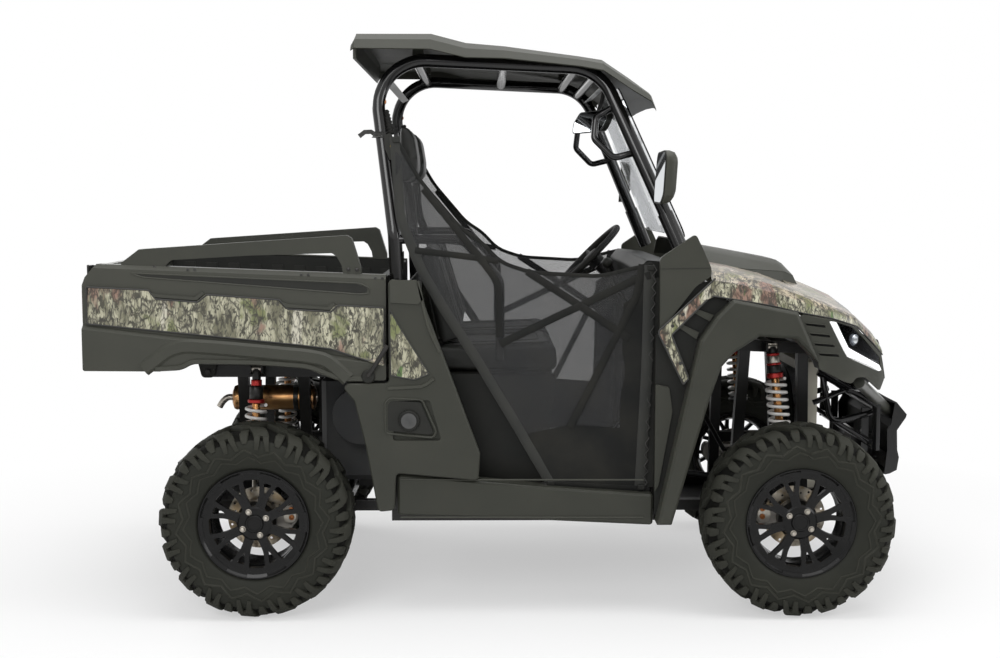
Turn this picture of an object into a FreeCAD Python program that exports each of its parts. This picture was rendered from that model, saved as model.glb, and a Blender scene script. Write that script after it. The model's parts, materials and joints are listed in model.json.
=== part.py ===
import FreeCAD, Part
import math
import os

V = FreeCAD.Vector
os.makedirs("parts", exist_ok=True)

# Side by side utility vehicle: two seats, tilting cargo bed, steered front wheels.
# Frame: X forward, Y to the left, Z up; the origin lies on the ground, mid length, centre line.
# Every length is in millimetres.

# Running gear and overall sizes
wheelbase = 1905.0
front_axle_x = 1015.0
rear_axle_x = front_axle_x - wheelbase
tyre_radius = 340.0
tyre_outer_y = 745.0
front_tyre_width = 230.0
rear_tyre_width = 275.0
axle_z = tyre_radius
fit_gap = 0.3
seam_gap = 0.8
moving_gap = 5.0
overrun = 20.0
panel_wall = 5.0

Y_AXIS = V(0, 1, 0)
Z_AXIS = V(0, 0, 1)


# Helpers that draw in named sizes
def box(x0, x1, y0, y1, z0, z1):
    return Part.makeBox(x1 - x0, y1 - y0, z1 - z0, V(x0, y0, z0))


def rod(start, end, radius):
    run = end - start
    return Part.makeCylinder(radius, run.Length, start, run)


def pipe(start, end, outer, inner):
    return rod(start, end, outer).cut(rod(start, end, inner))


def bar(start, end, across, tall):
    """A straight rectangular bar; its across side stays level."""
    along = (end - start).normalize()
    side = Z_AXIS.cross(along)
    if side.Length < 0.5:
        side = V(0, 1, 0)
    side.normalize()
    up = along.cross(side)
    corners = []
    for s, u in ((-1, -1), (1, -1), (1, 1), (-1, 1)):
        corners.append(start + side * (s * across / 2) + up * (u * tall / 2))
    face = Part.Face(Part.makePolygon(corners + corners[:1]))
    return face.extrude(end - start)


def fuse(shapes):
    shapes = list(shapes)
    if len(shapes) == 1:
        return shapes[0]
    return shapes[0].multiFuse(shapes[1:]).removeSplitter()


def mirrored(shape):
    return shape.mirror(V(0, 0, 0), Y_AXIS)


def both_sides(shape):
    return Part.makeCompound([shape, mirrored(shape)])


def rounded_wire(points, radius, closed=True):
    """Straight runs joined by tangent arcs of the given radius, less where a run is short."""
    count = len(points)
    starts = list(points)
    ends = list(points)
    arcs = [None] * count
    for i in range(count):
        if not closed and i in (0, count - 1):
            continue
        here = points[i]
        back = points[i - 1] - here
        ahead = points[(i + 1) % count] - here
        angle = back.getAngle(ahead)
        if radius <= 0 or angle > math.pi - 0.01:
            continue
        reach = min(radius / math.tan(angle / 2), 0.45 * back.Length, 0.45 * ahead.Length)
        true_radius = reach * math.tan(angle / 2)
        u = V(back).normalize()
        v = V(ahead).normalize()
        starts[i] = here + u * reach
        ends[i] = here + v * reach
        middle = (u + v).normalize()
        arcs[i] = here + middle * (true_radius / math.sin(angle / 2) - true_radius)
    edges = []
    for i in range(count):
        if arcs[i] is not None:
            edges.append(Part.Arc(starts[i], arcs[i], ends[i]).toShape())
        if closed or i < count - 1:
            edges.append(Part.LineSegment(ends[i], starts[(i + 1) % count]).toShape())
    return Part.Wire(edges)


def tube(points, bend_radius, radius, bore=0.0):
    """A round tube along straight runs and tangent bends."""
    path = rounded_wire(points, bend_radius, closed=False)
    direction = points[1] - points[0]

    def swept(size):
        profile = Part.Wire(Part.makeCircle(size, points[0], direction))
        return path.makePipeShell([profile], True, False)

    solid = swept(radius)
    if bore > 0:
        return solid.cut(swept(bore))
    return solid


def hoop(points, bend_radius, radius):
    """A closed loop of round rod."""
    path = rounded_wire(points, bend_radius)
    first = path.Edges[0]
    profile = Part.Wire(Part.makeCircle(radius, first.valueAt(first.FirstParameter),
                                        first.tangentAt(first.FirstParameter)))
    return path.makePipeShell([profile], True, False)


def placed(shares, x0, z0, length, height):
    """Points of a side outline from shares of the piece's own length and height."""
    return [(x0 + sx * length, z0 + sz * height) for sx, sz in shares]


def prism(outline, y0, y1, radius=0.0):
    """A side outline of (x, z) points, given depth along Y."""
    points = [V(x, y0, z) for x, z in outline]
    face = Part.Face(rounded_wire(points, radius))
    return face.extrude(V(0, y1 - y0, 0))


def plan_prism(outline, z0, z1, radius=0.0):
    """A plan outline of (x, y) points, given height along Z."""
    points = [V(x, y, z0) for x, y in outline]
    face = Part.Face(rounded_wire(points, radius))
    return face.extrude(V(0, 0, z1 - z0))


def front_prism(outline, x0, x1, radius=0.0):
    """A front outline of (y, z) points, given depth along X."""
    points = [V(x0, y, z) for y, z in outline]
    face = Part.Face(rounded_wire(points, radius))
    return face.extrude(V(x1 - x0, 0, 0))


def inset_line(points, wall):
    """An open line of (a, b) points moved to its right by the wall."""
    moved = []
    last = len(points) - 1
    for i, (a, b) in enumerate(points):
        normals = []
        for p, q in ((i - 1, i), (i, i + 1)):
            if p < 0 or q > last:
                continue
            da = points[q][0] - points[p][0]
            db = points[q][1] - points[p][1]
            size = math.hypot(da, db)
            normals.append((db / size, -da / size))
        na = sum(n[0] for n in normals)
        nb = sum(n[1] for n in normals)
        scale = len(normals) / (na * na + nb * nb)
        moved.append((a + na * scale * wall, b + nb * scale * wall))
    return moved


def skin(stations, wall):
    """A sheet of even wall lofted through (x, outer line of (y, z) points) stations."""
    wires = []
    for x, line in stations:
        inner = inset_line(line, wall)
        ring = list(line) + inner[::-1]
        points = [V(x, y, z) for y, z in ring]
        wires.append(Part.makePolygon(points + points[:1]))
    return Part.makeLoft(wires, True, True)


def plated(x0, line0, x1, line1, wall):
    """A sheet of flat plates between two open lines of (y, z) points at x0 and x1."""
    rings = []
    for x, line in ((x0, line0), (x1, line1)):
        rings.append([V(x, y, z) for y, z in list(line) + inset_line(line, wall)[::-1]])
    near, far = rings
    count = len(near)
    faces = [Part.Face(Part.makePolygon(ring + ring[:1])) for ring in rings]
    for i in range(count):
        j = (i + 1) % count
        faces.append(Part.Face(Part.makePolygon([near[i], near[j], far[j], far[i], near[i]])))
    solid = Part.Solid(Part.Shell(faces))
    if solid.Volume < 0:
        solid.reverse()
    return solid


def hollow_panel(outline, y_in, y_out, radius, wall, edge):
    """A moulded panel: its outer face bevelled, its inner side open."""
    side = 1 if y_out > y_in else -1
    body = prism(outline, y_in, y_out, radius)
    rim = [e for e in body.Edges if abs(e.BoundBox.YMin - y_out) < wall / 10
           and abs(e.BoundBox.YMax - y_out) < wall / 10]
    body = body.makeChamfer(edge, rim)
    face = Part.Face(rounded_wire([V(x, y_in - side * overrun, z) for x, z in outline], radius))
    for inset, floor in ((wall, wall + edge), (wall + edge, wall)):
        depth = (y_out - side * floor) - (y_in - side * overrun)
        body = body.cut(face.makeOffset2D(-inset).extrude(V(0, depth, 0)))
    return body


nodes = {}

# Chassis frame: steel box rails, uprights, shock towers, skid plate, hitch receiver
rail_size = 40.0
rail_y = 230.0
rail_z = 300.0
rail_rear_x = -1120.0
rail_front_x = 1185.0
cross_member_xs = (-1100.0, -630.0, -400.0, 60.0, 520.0, 850.0, 1165.0)
outer_rail_y = 560.0
outer_rail_z = rail_z + rail_size
outer_rail_rear_x = -400.0
outer_rail_front_x = 520.0
upper_rail_y = 330.0
upper_rail_z = 830.0
upper_rail_rear_x = -1130.0
upper_rail_size = 44.0
rear_post_xs = (-985.0, -760.0)
arm_bridge_z = 480.0
rear_upright_top_z = 862.0
tower_rear_x = 885.0
tower_front_x = 1100.0
tower_foot_rear_x = 860.0
tower_foot_front_x = 1125.0
tower_y = 300.0
tower_rear_z = 935.0
tower_front_z = 905.0
tower_rail_rear_x = 560.0
tower_rail_front_x = 1200.0
nose_x = 1392.0
shock_bracket_y = 430.0
skid_thickness = 4.0

tower_slope = (tower_front_z - tower_rear_z) / (tower_rail_front_x - tower_rail_rear_x)


def tower_rail_z(x):
    return tower_rear_z + tower_slope * (x - tower_rail_rear_x)


def bars(lines, across, tall):
    """Straight bars of one section along the given lines."""
    return [bar(V(*start), V(*end), across, tall) for start, end in lines]


def lower_side(size):
    """The left main rail and the outer rail below the door opening."""
    return bars([((rail_rear_x, rail_y, rail_z), (rail_front_x, rail_y, rail_z)),
                 ((outer_rail_rear_x - rail_size / 2, outer_rail_y, outer_rail_z),
                  (outer_rail_front_x + rail_size / 2, outer_rail_y, outer_rail_z))], size, size)


post_lean = (upper_rail_y - rail_y) / (upper_rail_z - rail_z)
tower_lean = (tower_y - rail_y) / (tower_rear_z - rail_z)
rear_bridge_y = rail_y + post_lean * (arm_bridge_z - rail_z)
front_bridge_y = rail_y + tower_lean * (arm_bridge_z - rail_z)


def rear_side():
    """The left posts, arm bridge, upper rail and cab upright behind the seats."""
    upper = bars([((upper_rail_rear_x, upper_rail_y, upper_rail_z),
                   (outer_rail_rear_x, upper_rail_y, upper_rail_z))], rail_size, upper_rail_size)
    lines = [((outer_rail_rear_x, outer_rail_y, outer_rail_z), (outer_rail_rear_x, outer_rail_y, rear_upright_top_z)),
             ((rear_post_xs[0], rear_bridge_y, arm_bridge_z), (rear_post_xs[1], rear_bridge_y, arm_bridge_z))]
    for x in rear_post_xs:
        lines.append(((x, rail_y, rail_z), (x, upper_rail_y, upper_rail_z)))
    return upper + bars(lines, rail_size, rail_size)


def front_side():
    """The left door post, shock tower, arm bridge, tower rail and nose stay."""
    nose_z = tower_rail_z(nose_x)
    lines = [((outer_rail_front_x, outer_rail_y, outer_rail_z), (tower_rail_rear_x, outer_rail_y, tower_rear_z)),
             ((tower_foot_rear_x, front_bridge_y, arm_bridge_z), (tower_foot_front_x, front_bridge_y, arm_bridge_z)),
             ((tower_rail_rear_x, tower_y, tower_rear_z),
              (tower_rail_front_x, tower_y, tower_rail_z(tower_rail_front_x)))]
    for foot_x, head_x in ((tower_foot_rear_x, tower_rear_x), (tower_foot_front_x, tower_front_x)):
        lines.append(((foot_x, rail_y, rail_z), (head_x, tower_y, tower_rail_z(head_x))))
    stay = bars([((tower_rail_front_x - rail_size, tower_y, tower_rail_z(tower_rail_front_x)),
                  (nose_x - fit_gap, tower_y, nose_z))], rail_size / 2, rail_size / 2)
    return bars(lines, rail_size, rail_size) + stay


receiver_outer = 63.5
receiver_bore = 51.0
receiver_length = 225.0
receiver_rear_x = -1305.0
receiver_z = 395.0
receiver_pin_radius = 8.2
receiver_pin_setback = 63.0
bed_hinge_x = -1110.0
bed_hinge_z = upper_rail_z
bed_pin_radius = 9.0
bed_pin_length = 26.0
rear_shock_top = V(-925.0, 395.0, 845.0)
front_shock_top = V(968.0, 400.0, 925.0)
shock_pin_radius = 8.0

lower_pieces = lower_side(rail_size)
lower_pieces += [mirrored(piece) for piece in lower_pieces]
lower_pieces += bars([((x, -rail_y, rail_z), (x, rail_y, rail_z)) for x in cross_member_xs], rail_size, rail_size)
outrigger_xs = (outer_rail_rear_x, 60.0, outer_rail_front_x)
lower_pieces += bars([((x, -outer_rail_y, outer_rail_z), (x, outer_rail_y, outer_rail_z))
                      for x in outrigger_xs], rail_size, rail_size)
lower_pieces.append(box(outer_rail_rear_x, rail_front_x, -rail_y, rail_y,
                        rail_z - rail_size / 2 - skid_thickness, rail_z - rail_size / 2))
half_receiver = receiver_outer / 2
receiver_front_x = receiver_rear_x + receiver_length
receiver = box(receiver_rear_x, receiver_front_x, -half_receiver, half_receiver,
               receiver_z - half_receiver, receiver_z + half_receiver)
drop_plate = box(rail_rear_x - skid_thickness, rail_rear_x + rail_size / 2, -rail_y, rail_y,
                 rail_z - rail_size / 2, receiver_z + half_receiver)
half_bore = receiver_bore / 2
receiver = receiver.fuse(drop_plate)
receiver = receiver.cut(box(receiver_rear_x - overrun, rail_rear_x - skid_thickness, -half_bore, half_bore,
                            receiver_z - half_bore, receiver_z + half_bore))
receiver_pin_x = receiver_rear_x + receiver_pin_setback
receiver = receiver.cut(rod(V(receiver_pin_x, -receiver_outer, receiver_z),
                            V(receiver_pin_x, receiver_outer, receiver_z), receiver_pin_radius))
nodes["chassis_frame"] = fuse(lower_pieces + [receiver])

# What stands on the lower frame leaves a weld's gap round its rails
rail_room = lower_side(rail_size + 2 * fit_gap)
rail_room += [mirrored(room) for room in rail_room]
rail_room += bars([((x, -outer_rail_y, outer_rail_z), (x, outer_rail_y, outer_rail_z))
                   for x in outrigger_xs], rail_size + 2 * fit_gap, rail_size + 2 * fit_gap)


def shock_bracket(top, root_y, root_z):
    """Two cheeks that hold a shock's upper eye on a pin, on an arm from the rail."""
    cheek = 6.0
    eye_half = 18.0
    depth = 34.0
    pieces = []
    for side in (-1, 1):
        x = top.x + side * (eye_half + cheek / 2)
        outline = [(root_y, root_z - depth / 2), (top.y + depth / 2, top.z - depth / 2),
                   (top.y + depth / 2, top.z + depth / 2), (root_y, root_z + depth / 2)]
        pieces.append(front_prism(outline, x - cheek / 2, x + cheek / 2, depth / 6))
    pieces.append(rod(V(top.x - eye_half - cheek, top.y, top.z),
                      V(top.x + eye_half + cheek, top.y, top.z), shock_pin_radius))
    return fuse(pieces)


rear_left = rear_side() + [shock_bracket(rear_shock_top, upper_rail_y, upper_rail_z)]
rear_left.append(rod(V(bed_hinge_x, upper_rail_y, bed_hinge_z),
                     V(bed_hinge_x, upper_rail_y + rail_size / 2 + bed_pin_length, bed_hinge_z), bed_pin_radius))
rear_across = bars([((x, -upper_rail_y, upper_rail_z), (x, upper_rail_y, upper_rail_z))
                    for x in (upper_rail_rear_x + rail_size / 2, outer_rail_rear_x)], rail_size, upper_rail_size)
rear_across += bars([((outer_rail_rear_x, -outer_rail_y, upper_rail_z),
                      (outer_rail_rear_x, outer_rail_y, upper_rail_z))], rail_size, rail_size)
nodes["rear_subframe"] = fuse(rear_left + [mirrored(piece) for piece in rear_left] + rear_across).cut(rail_room)

front_left = front_side() + [shock_bracket(front_shock_top, tower_y, tower_rail_z(front_shock_top.x))]
front_across = bars([((tower_rail_rear_x, -outer_rail_y, tower_rear_z),
                      (tower_rail_rear_x, outer_rail_y, tower_rear_z))], rail_size, rail_size)
front_across += bars([((x, -tower_y, tower_rail_z(x)), (x, tower_y, tower_rail_z(x)))
                      for x in (front_shock_top.x, tower_rail_front_x - rail_size / 2)], rail_size, rail_size)
nodes["front_subframe"] = fuse(front_left + [mirrored(piece) for piece in front_left] + front_across).cut(rail_room)

# Suspension arms: tube wishbones with bushings on the frame and a ball end at the knuckle
arm_radius = 14.0
bushing_radius = 16.0
bushing_half = 22.0
front_ball_y = 548.0
front_lower_ball_z = 262.0
front_upper_ball_z = 425.0
rear_ball_y = 545.0
rear_lower_ball_z = 266.0
rear_upper_ball_z = 430.0
ball_radius = 17.0
stud_radius = 8.0
stud_length = 20.0
front_arm_half = 95.0
rear_lower_xs = (-990.0, -790.0)
rear_upper_xs = (-872.0, -790.0)
front_shock_low = V(front_axle_x, 440.0, 446.0)
rear_shock_low = V(-936.0, 425.0, 312.0)


def wishbone(pivot_xs, pivot_y, pivot_z, ball):
    pieces = []
    for x in pivot_xs:
        pivot = V(x, pivot_y, pivot_z)
        pieces.append(rod(pivot, ball, arm_radius))
        pieces.append(rod(pivot - V(bushing_half, 0, 0), pivot + V(bushing_half, 0, 0), bushing_radius))
    pieces.append(rod(ball - V(0, 0, ball_radius), ball + V(0, 0, ball_radius), ball_radius))
    inward = 1 if ball.z < axle_z else -1
    pieces.append(rod(ball, ball + V(0, 0, inward * (ball_radius + stud_length)), stud_radius))
    return pieces


lower_pivot_y = rail_y + rail_size / 2 + bushing_radius + fit_gap
leg_clear = 2.0
front_upper_pivot_y = front_bridge_y + rail_size / 2 + bushing_radius + leg_clear
rear_upper_pivot_y = rear_bridge_y + rail_size / 2 + bushing_radius + fit_gap
front_pivot_xs = (front_axle_x - front_arm_half, front_axle_x + front_arm_half)
front_lower_arm = fuse(wishbone(front_pivot_xs, lower_pivot_y, rail_z,
                                V(front_axle_x, front_ball_y, front_lower_ball_z)))
front_upper_pieces = wishbone(front_pivot_xs, front_upper_pivot_y, arm_bridge_z,
                              V(front_axle_x, front_ball_y, front_upper_ball_z))
front_upper_pieces.append(rod(front_shock_low - V(2 * ball_radius, 0, 0),
                              front_shock_low + V(2.6 * ball_radius, 0, 0), shock_pin_radius))
front_upper_arm = fuse(front_upper_pieces)
rear_lower_pieces = wishbone(rear_lower_xs, lower_pivot_y, rail_z,
                             V(rear_axle_x, rear_ball_y, rear_lower_ball_z))
rear_lower_pieces.append(rod(rear_shock_low - V(1.4 * ball_radius, 0, 0),
                             rear_shock_low + V(1.4 * ball_radius, 0, 0), shock_pin_radius))
for side in (-1, 1):
    ear_x = rear_shock_low.x + side * 1.2 * ball_radius
    ear_y = rear_shock_low.y
    rear_lower_pieces.append(box(ear_x - ball_radius / 5, ear_x + ball_radius / 5, ear_y - ball_radius,
                                 ear_y + ball_radius, rear_shock_low.z - 2.2 * ball_radius,
                                 rear_shock_low.z + 0.8 * ball_radius))
rear_lower_arm = fuse(rear_lower_pieces)
rear_upper_arm = fuse(wishbone(rear_upper_xs, rear_upper_pivot_y, arm_bridge_z,
                               V(rear_axle_x, rear_ball_y, rear_upper_ball_z)))
nodes["suspension_arms"] = Part.makeCompound(
    [both_sides(arm) for arm in (front_lower_arm, front_upper_arm, rear_lower_arm, rear_upper_arm)])

# Shocks: damper, rod, eyes and coil spring
spring_radius = 36.0
spring_wire = 6.0
damper_radius = 19.0
shock_rod_radius = 8.0
eye_radius = 16.0
eye_half = 14.0


def shock(top, low, coils, top_share, low_share):
    axis = (low - top).normalize()
    length = (low - top).Length
    eye_top = rod(top - V(eye_half, 0, 0), top + V(eye_half, 0, 0), eye_radius)
    eye_low = rod(low - V(eye_half, 0, 0), low + V(eye_half, 0, 0), eye_radius)
    body = rod(top + axis * (eye_radius * 1.7), top + axis * (length * 0.55), damper_radius)
    neck = rod(top, top + axis * (eye_radius * 2), shock_rod_radius)
    piston = rod(top + axis * (length * 0.5), low, shock_rod_radius)
    upper_seat_at = top + axis * (length * top_share)
    lower_seat_at = top + axis * (length * low_share)
    seat_thickness = spring_wire * 1.5
    upper_seat = rod(upper_seat_at - axis * seat_thickness, upper_seat_at, spring_radius + spring_wire)
    lower_seat = rod(lower_seat_at, lower_seat_at + axis * seat_thickness, spring_radius + spring_wire)
    span = (lower_seat_at - upper_seat_at).Length - 2 * (spring_wire + fit_gap)
    pitch = span / coils
    helix = Part.makeHelix(pitch, span, spring_radius)
    helix.Placement = FreeCAD.Placement(upper_seat_at + axis * (spring_wire + fit_gap),
                                        FreeCAD.Rotation(Z_AXIS, axis))
    start = helix.Edges[0].valueAt(helix.Edges[0].FirstParameter)
    heading = helix.Edges[0].tangentAt(helix.Edges[0].FirstParameter)
    profile = Part.Wire(Part.makeCircle(spring_wire, start, heading))
    coil = Part.Wire(helix).makePipeShell([profile], True, True)
    solid = fuse([eye_top, neck, body, piston, eye_low, upper_seat, lower_seat])
    for at in (top, low):
        solid = solid.cut(rod(at - V(overrun * 2, 0, 0), at + V(overrun * 2, 0, 0),
                              shock_pin_radius + fit_gap))
    return solid, coil


front_shock, front_coil = shock(front_shock_top, front_shock_low, 8, 0.10, 0.62)
rear_shock, rear_coil = shock(rear_shock_top, rear_shock_low, 10, 0.08, 0.66)
nodes["shocks"] = Part.makeCompound([both_sides(front_shock), both_sides(rear_shock)])
nodes["coil_springs"] = Part.makeCompound([both_sides(front_coil), both_sides(rear_coil)])


# Wheels: cast rims with eight forked spokes, brake discs, mud tyres
rim_flange_radius = 194.0
rim_flange_height = 16.0
rim_bead_radius = 178.0
rim_well_radius = 158.0
rim_lip_y = 725.0
sidewall_overhang = tyre_outer_y - rim_lip_y
ring_facets = 20
rim_wall = 5.0
spoke_count = 8
spoke_width = 17.0
spoke_depth = 16.0
spoke_fork_deg = 9.0
spoke_dish = 26.0
hub_radius = 62.0
hub_bore = 18.0
hub_depth = 44.0
hub_cap_radius = 31.0
disc_radius = 112.0
disc_inner_radius = 52.0
disc_thickness = 5.0
disc_inset = 118.0
tread_pitches = 20
tread_radius = tyre_radius - 20.0
lug_thickness = 44.0
lug_skew_deg = 20.0


def revolved(line):
    """A solid of revolution about the Y axis from (radius, y) points."""
    points = [V(r, y, 0) for r, y in line]
    face = Part.Face(Part.makePolygon(points + points[:1]))
    return face.revolve(V(0, 0, 0), Y_AXIS, 360)


def rim(width):
    """A left rim about the origin, its outer lip at y = 0, the barrel towards -Y."""
    lip = rim_flange_height
    outer = [
        (rim_flange_radius, 0.0), (rim_flange_radius, -rim_wall), (rim_bead_radius, -rim_wall * 2),
        (rim_bead_radius, -lip * 2.4), (rim_well_radius, -lip * 3.6), (rim_well_radius, -lip * 6.0),
        (rim_bead_radius, -lip * 7.6), (rim_bead_radius, rim_wall * 2 - width),
        (rim_flange_radius, rim_wall - width), (rim_flange_radius, -width),
    ]
    inner = [
        (rim_bead_radius - rim_wall, -width), (rim_bead_radius - rim_wall, -lip * 7.8),
        (rim_well_radius - rim_wall, -lip * 6.2), (rim_well_radius - rim_wall, -lip * 3.4),
        (rim_bead_radius - rim_wall, -lip * 2.2), (rim_bead_radius - rim_wall, 0.0),
    ]
    barrel = revolved(outer + inner)
    spokes = []
    half_fork = math.radians(spoke_fork_deg)
    root = hub_radius * 0.55
    tip = rim_bead_radius - rim_wall / 2
    for k in range(spoke_count):
        for side in (-1, 1):
            start = V(root, -spoke_dish, 0)
            end = V(tip * math.cos(half_fork), -spoke_depth / 2 - rim_wall, side * tip * math.sin(half_fork))
            spoke = bar(start, end, spoke_width, spoke_depth)
            spoke.rotate(V(0, 0, 0), Y_AXIS, 360 / spoke_count * (k + 0.5))
            spokes.append(spoke)
    hub = revolved([(hub_bore, -spoke_dish - hub_depth), (hub_radius, -spoke_dish - hub_depth),
                    (hub_radius, -spoke_dish + spoke_depth / 2), (hub_bore, -spoke_dish + spoke_depth / 2)])
    cap = revolved([(0, -spoke_dish), (hub_cap_radius, -spoke_dish),
                    (hub_cap_radius, -rim_wall), (hub_cap_radius - rim_wall, 0.0), (0, 0.0)])
    disc_hat = revolved([(hub_bore, -disc_inset - disc_thickness), (disc_inner_radius, -disc_inset - disc_thickness),
                         (disc_inner_radius, -spoke_dish - hub_depth), (hub_bore, -spoke_dish - hub_depth)])
    disc = revolved([(hub_bore, -disc_inset - disc_thickness), (disc_radius, -disc_inset - disc_thickness),
                     (disc_radius, -disc_inset), (hub_bore, -disc_inset)])
    return fuse([barrel, hub, cap, disc_hat, disc] + spokes)


def faceted_ring(profile, count, phase):
    """A closed ring of flat facets from (radius, y) profile points."""
    faces = []
    step = 2 * math.pi / count
    size = len(profile)

    def corner(i, k):
        r, y = profile[i % size]
        a = phase + step * k
        return V(r * math.sin(a), y, r * math.cos(a))

    for k in range(count):
        for i in range(size):
            ring = [corner(i, k), corner(i + 1, k), corner(i + 1, k + 1), corner(i, k + 1)]
            faces.append(Part.Face(Part.makePolygon(ring + ring[:1])))
    solid = Part.Solid(Part.Shell(faces))
    if solid.Volume < 0:
        solid.reverse()
    return solid


bead_inset = 5.0
sidewall_high_drop = 52.0
sidewall_inset = 6.0
shoulder_inset = 28.0
lug_root_drop = 12.0
lug_tip_inset = 8.0
lug_bevel = 16.0
lug_shoulder_drop = 38.0
lug_foot_drop = 50.0


def tyre(width):
    """A tyre about the origin, centred on y = 0."""
    half = width / 2
    facet_share = math.cos(math.pi / ring_facets)
    seat_half = half - sidewall_overhang - rim_wall - fit_gap
    outer_half = [
        ((rim_bead_radius + fit_gap) / facet_share, seat_half - bead_inset),
        ((rim_flange_radius + fit_gap) / facet_share, seat_half),
        (tyre_radius - sidewall_high_drop, half - sidewall_inset),
        (tread_radius, half - shoulder_inset),
    ]
    profile = outer_half + [(r, -y) for r, y in outer_half[::-1]]
    step = 360.0 / tread_pitches
    carcass = faceted_ring(profile, ring_facets, math.pi / ring_facets)
    skew = math.radians(lug_skew_deg)
    reach = half / math.cos(skew)

    def lug_top(s):
        """The height at which a lug's corner, s from the centre line, lies on the tyre's radius."""
        side = s * math.sin(skew) + lug_thickness / 2 * math.cos(skew)
        return math.sqrt(tyre_radius * tyre_radius - side * side)

    lug_start = lug_thickness / 7
    tip = reach - lug_tip_inset
    profile_lug = [
        (lug_start, tread_radius - lug_root_drop), (lug_start, lug_top(lug_start)),
        (tip - lug_bevel, lug_top(reach)), (tip, tyre_radius - lug_shoulder_drop), (tip - lug_bevel / 2, tyre_radius - lug_foot_drop),
    ]
    along = V(math.sin(skew), math.cos(skew), 0)
    across = V(math.cos(skew), -math.sin(skew), 0)
    points = [along * s + V(0, 0, r) - across * (lug_thickness / 2) for s, r in profile_lug]
    near = Part.Face(Part.makePolygon(points + points[:1])).extrude(across * lug_thickness)
    near.rotate(V(0, 0, 0), Y_AXIS, -lug_skew_deg / 5)
    far = mirrored(near)
    far.rotate(V(0, 0, 0), Y_AXIS, step / 2)
    lugs = []
    for k in range(tread_pitches):
        for row in (near, far):
            copy = row.copy()
            copy.rotate(V(0, 0, 0), Y_AXIS, step * k)
            lugs.append(copy)
    return carcass.multiFuse(lugs)


wheel_layout = (("front", front_axle_x, front_tyre_width), ("rear", rear_axle_x, rear_tyre_width))
for end, axle_x, tyre_width in wheel_layout:
    left_rim = rim(tyre_width - 2 * sidewall_overhang)
    left_rim.translate(V(axle_x, rim_lip_y, axle_z))
    left_tyre = tyre(tyre_width)
    left_tyre.translate(V(axle_x, tyre_outer_y - tyre_width / 2, axle_z))
    nodes["rim_" + end + "_left"] = left_rim
    nodes["rim_" + end + "_right"] = mirrored(left_rim)
    nodes["tyre_" + end + "_left"] = left_tyre
    nodes["tyre_" + end + "_right"] = mirrored(left_tyre)

# Knuckles, rear hub carriers, half shafts
upright_half = 17.0
spindle_radius = hub_bore - fit_gap
knuckle_clear = 2.0
steer_arm_x = front_axle_x - 110.0
steer_arm_y = 532.0
tie_rod_z = 405.0
tie_rod_radius = 9.0
steer_arm_z = tie_rod_z - 2 * tie_rod_radius
caliper_pad_gap = 2.5
hub_inner_y = rim_lip_y - disc_inset - disc_thickness
spindle_end_y = rim_lip_y - spoke_dish - 12.0


caliper_reach = 24.0
caliper_length = 64.0
caliper_low = 32.0
caliper_high = 36.0
caliper_jaw = 8.0
caliper_arm_rise = 23.0


def upright(x, ball_y, low_z, high_z, caliper_side):
    """The block between the ball ends, with the fixed spindle and the brake caliper on its arm."""
    low = low_z + ball_radius + knuckle_clear
    high = high_z - ball_radius - knuckle_clear
    block = box(x - upright_half, x + upright_half, ball_y - upright_half, ball_y + upright_half, low, high)
    boss = rod(V(x, ball_y, axle_z), V(x, hub_inner_y - moving_gap, axle_z), hub_radius * 0.6)
    spindle = rod(V(x, ball_y, axle_z), V(x, spindle_end_y, axle_z), spindle_radius)
    near = disc_radius * 0.72 - caliper_reach
    far = near + caliper_length
    disc_y0 = rim_lip_y - disc_inset - disc_thickness
    disc_y1 = rim_lip_y - disc_inset
    caliper = box(near, far, disc_y0 - caliper_reach, disc_y1 + caliper_reach,
                  axle_z - caliper_low, axle_z + caliper_high)
    slot = box(near - overrun, far - caliper_jaw, disc_y0 - caliper_pad_gap, disc_y1 + caliper_pad_gap,
               axle_z - 2 * caliper_low, axle_z + 2 * caliper_high)
    arm = box(0.0, far - caliper_reach, ball_y, disc_y0 - caliper_reach + caliper_jaw,
              axle_z - caliper_arm_rise, axle_z + caliper_arm_rise)
    brake = caliper.cut(slot).fuse(arm)
    if caliper_side < 0:
        brake = brake.mirror(V(0, 0, 0), V(1, 0, 0))
    brake.translate(V(x, 0, 0))
    return [block, boss, spindle, brake]


def stud_holes(x, ball_y, low_z, high_z):
    """Blind holes for the two ball studs."""
    low = V(x, ball_y, low_z + ball_radius)
    high = V(x, ball_y, high_z - ball_radius)
    reach = V(0, 0, stud_length + knuckle_clear)
    return [rod(low, low + reach, stud_radius + fit_gap), rod(high - reach, high, stud_radius + fit_gap)]


knuckle_pieces = upright(front_axle_x, front_ball_y, front_lower_ball_z, front_upper_ball_z, -1)
knuckle_pieces.append(bar(V(front_axle_x, front_ball_y, steer_arm_z),
                          V(steer_arm_x, steer_arm_y, steer_arm_z), 26.0, 12.0))
knuckle_pieces.append(rod(V(steer_arm_x, steer_arm_y, steer_arm_z - 6.0),
                          V(steer_arm_x, steer_arm_y, steer_arm_z + 6.0), 15.0))
nodes["knuckle_left"] = fuse(knuckle_pieces).cut(
    stud_holes(front_axle_x, front_ball_y, front_lower_ball_z, front_upper_ball_z))
nodes["knuckle_right"] = mirrored(nodes["knuckle_left"])
rear_carrier = fuse(upright(rear_axle_x, rear_ball_y, rear_lower_ball_z, rear_upper_ball_z, 1)).cut(
    stud_holes(rear_axle_x, rear_ball_y, rear_lower_ball_z, rear_upper_ball_z))
nodes["rear_hub_carriers"] = both_sides(rear_carrier)

drive_half_y = 112.0
shaft_radius = 13.0
boot_radius = 34.0
boot_length = 95.0


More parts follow.
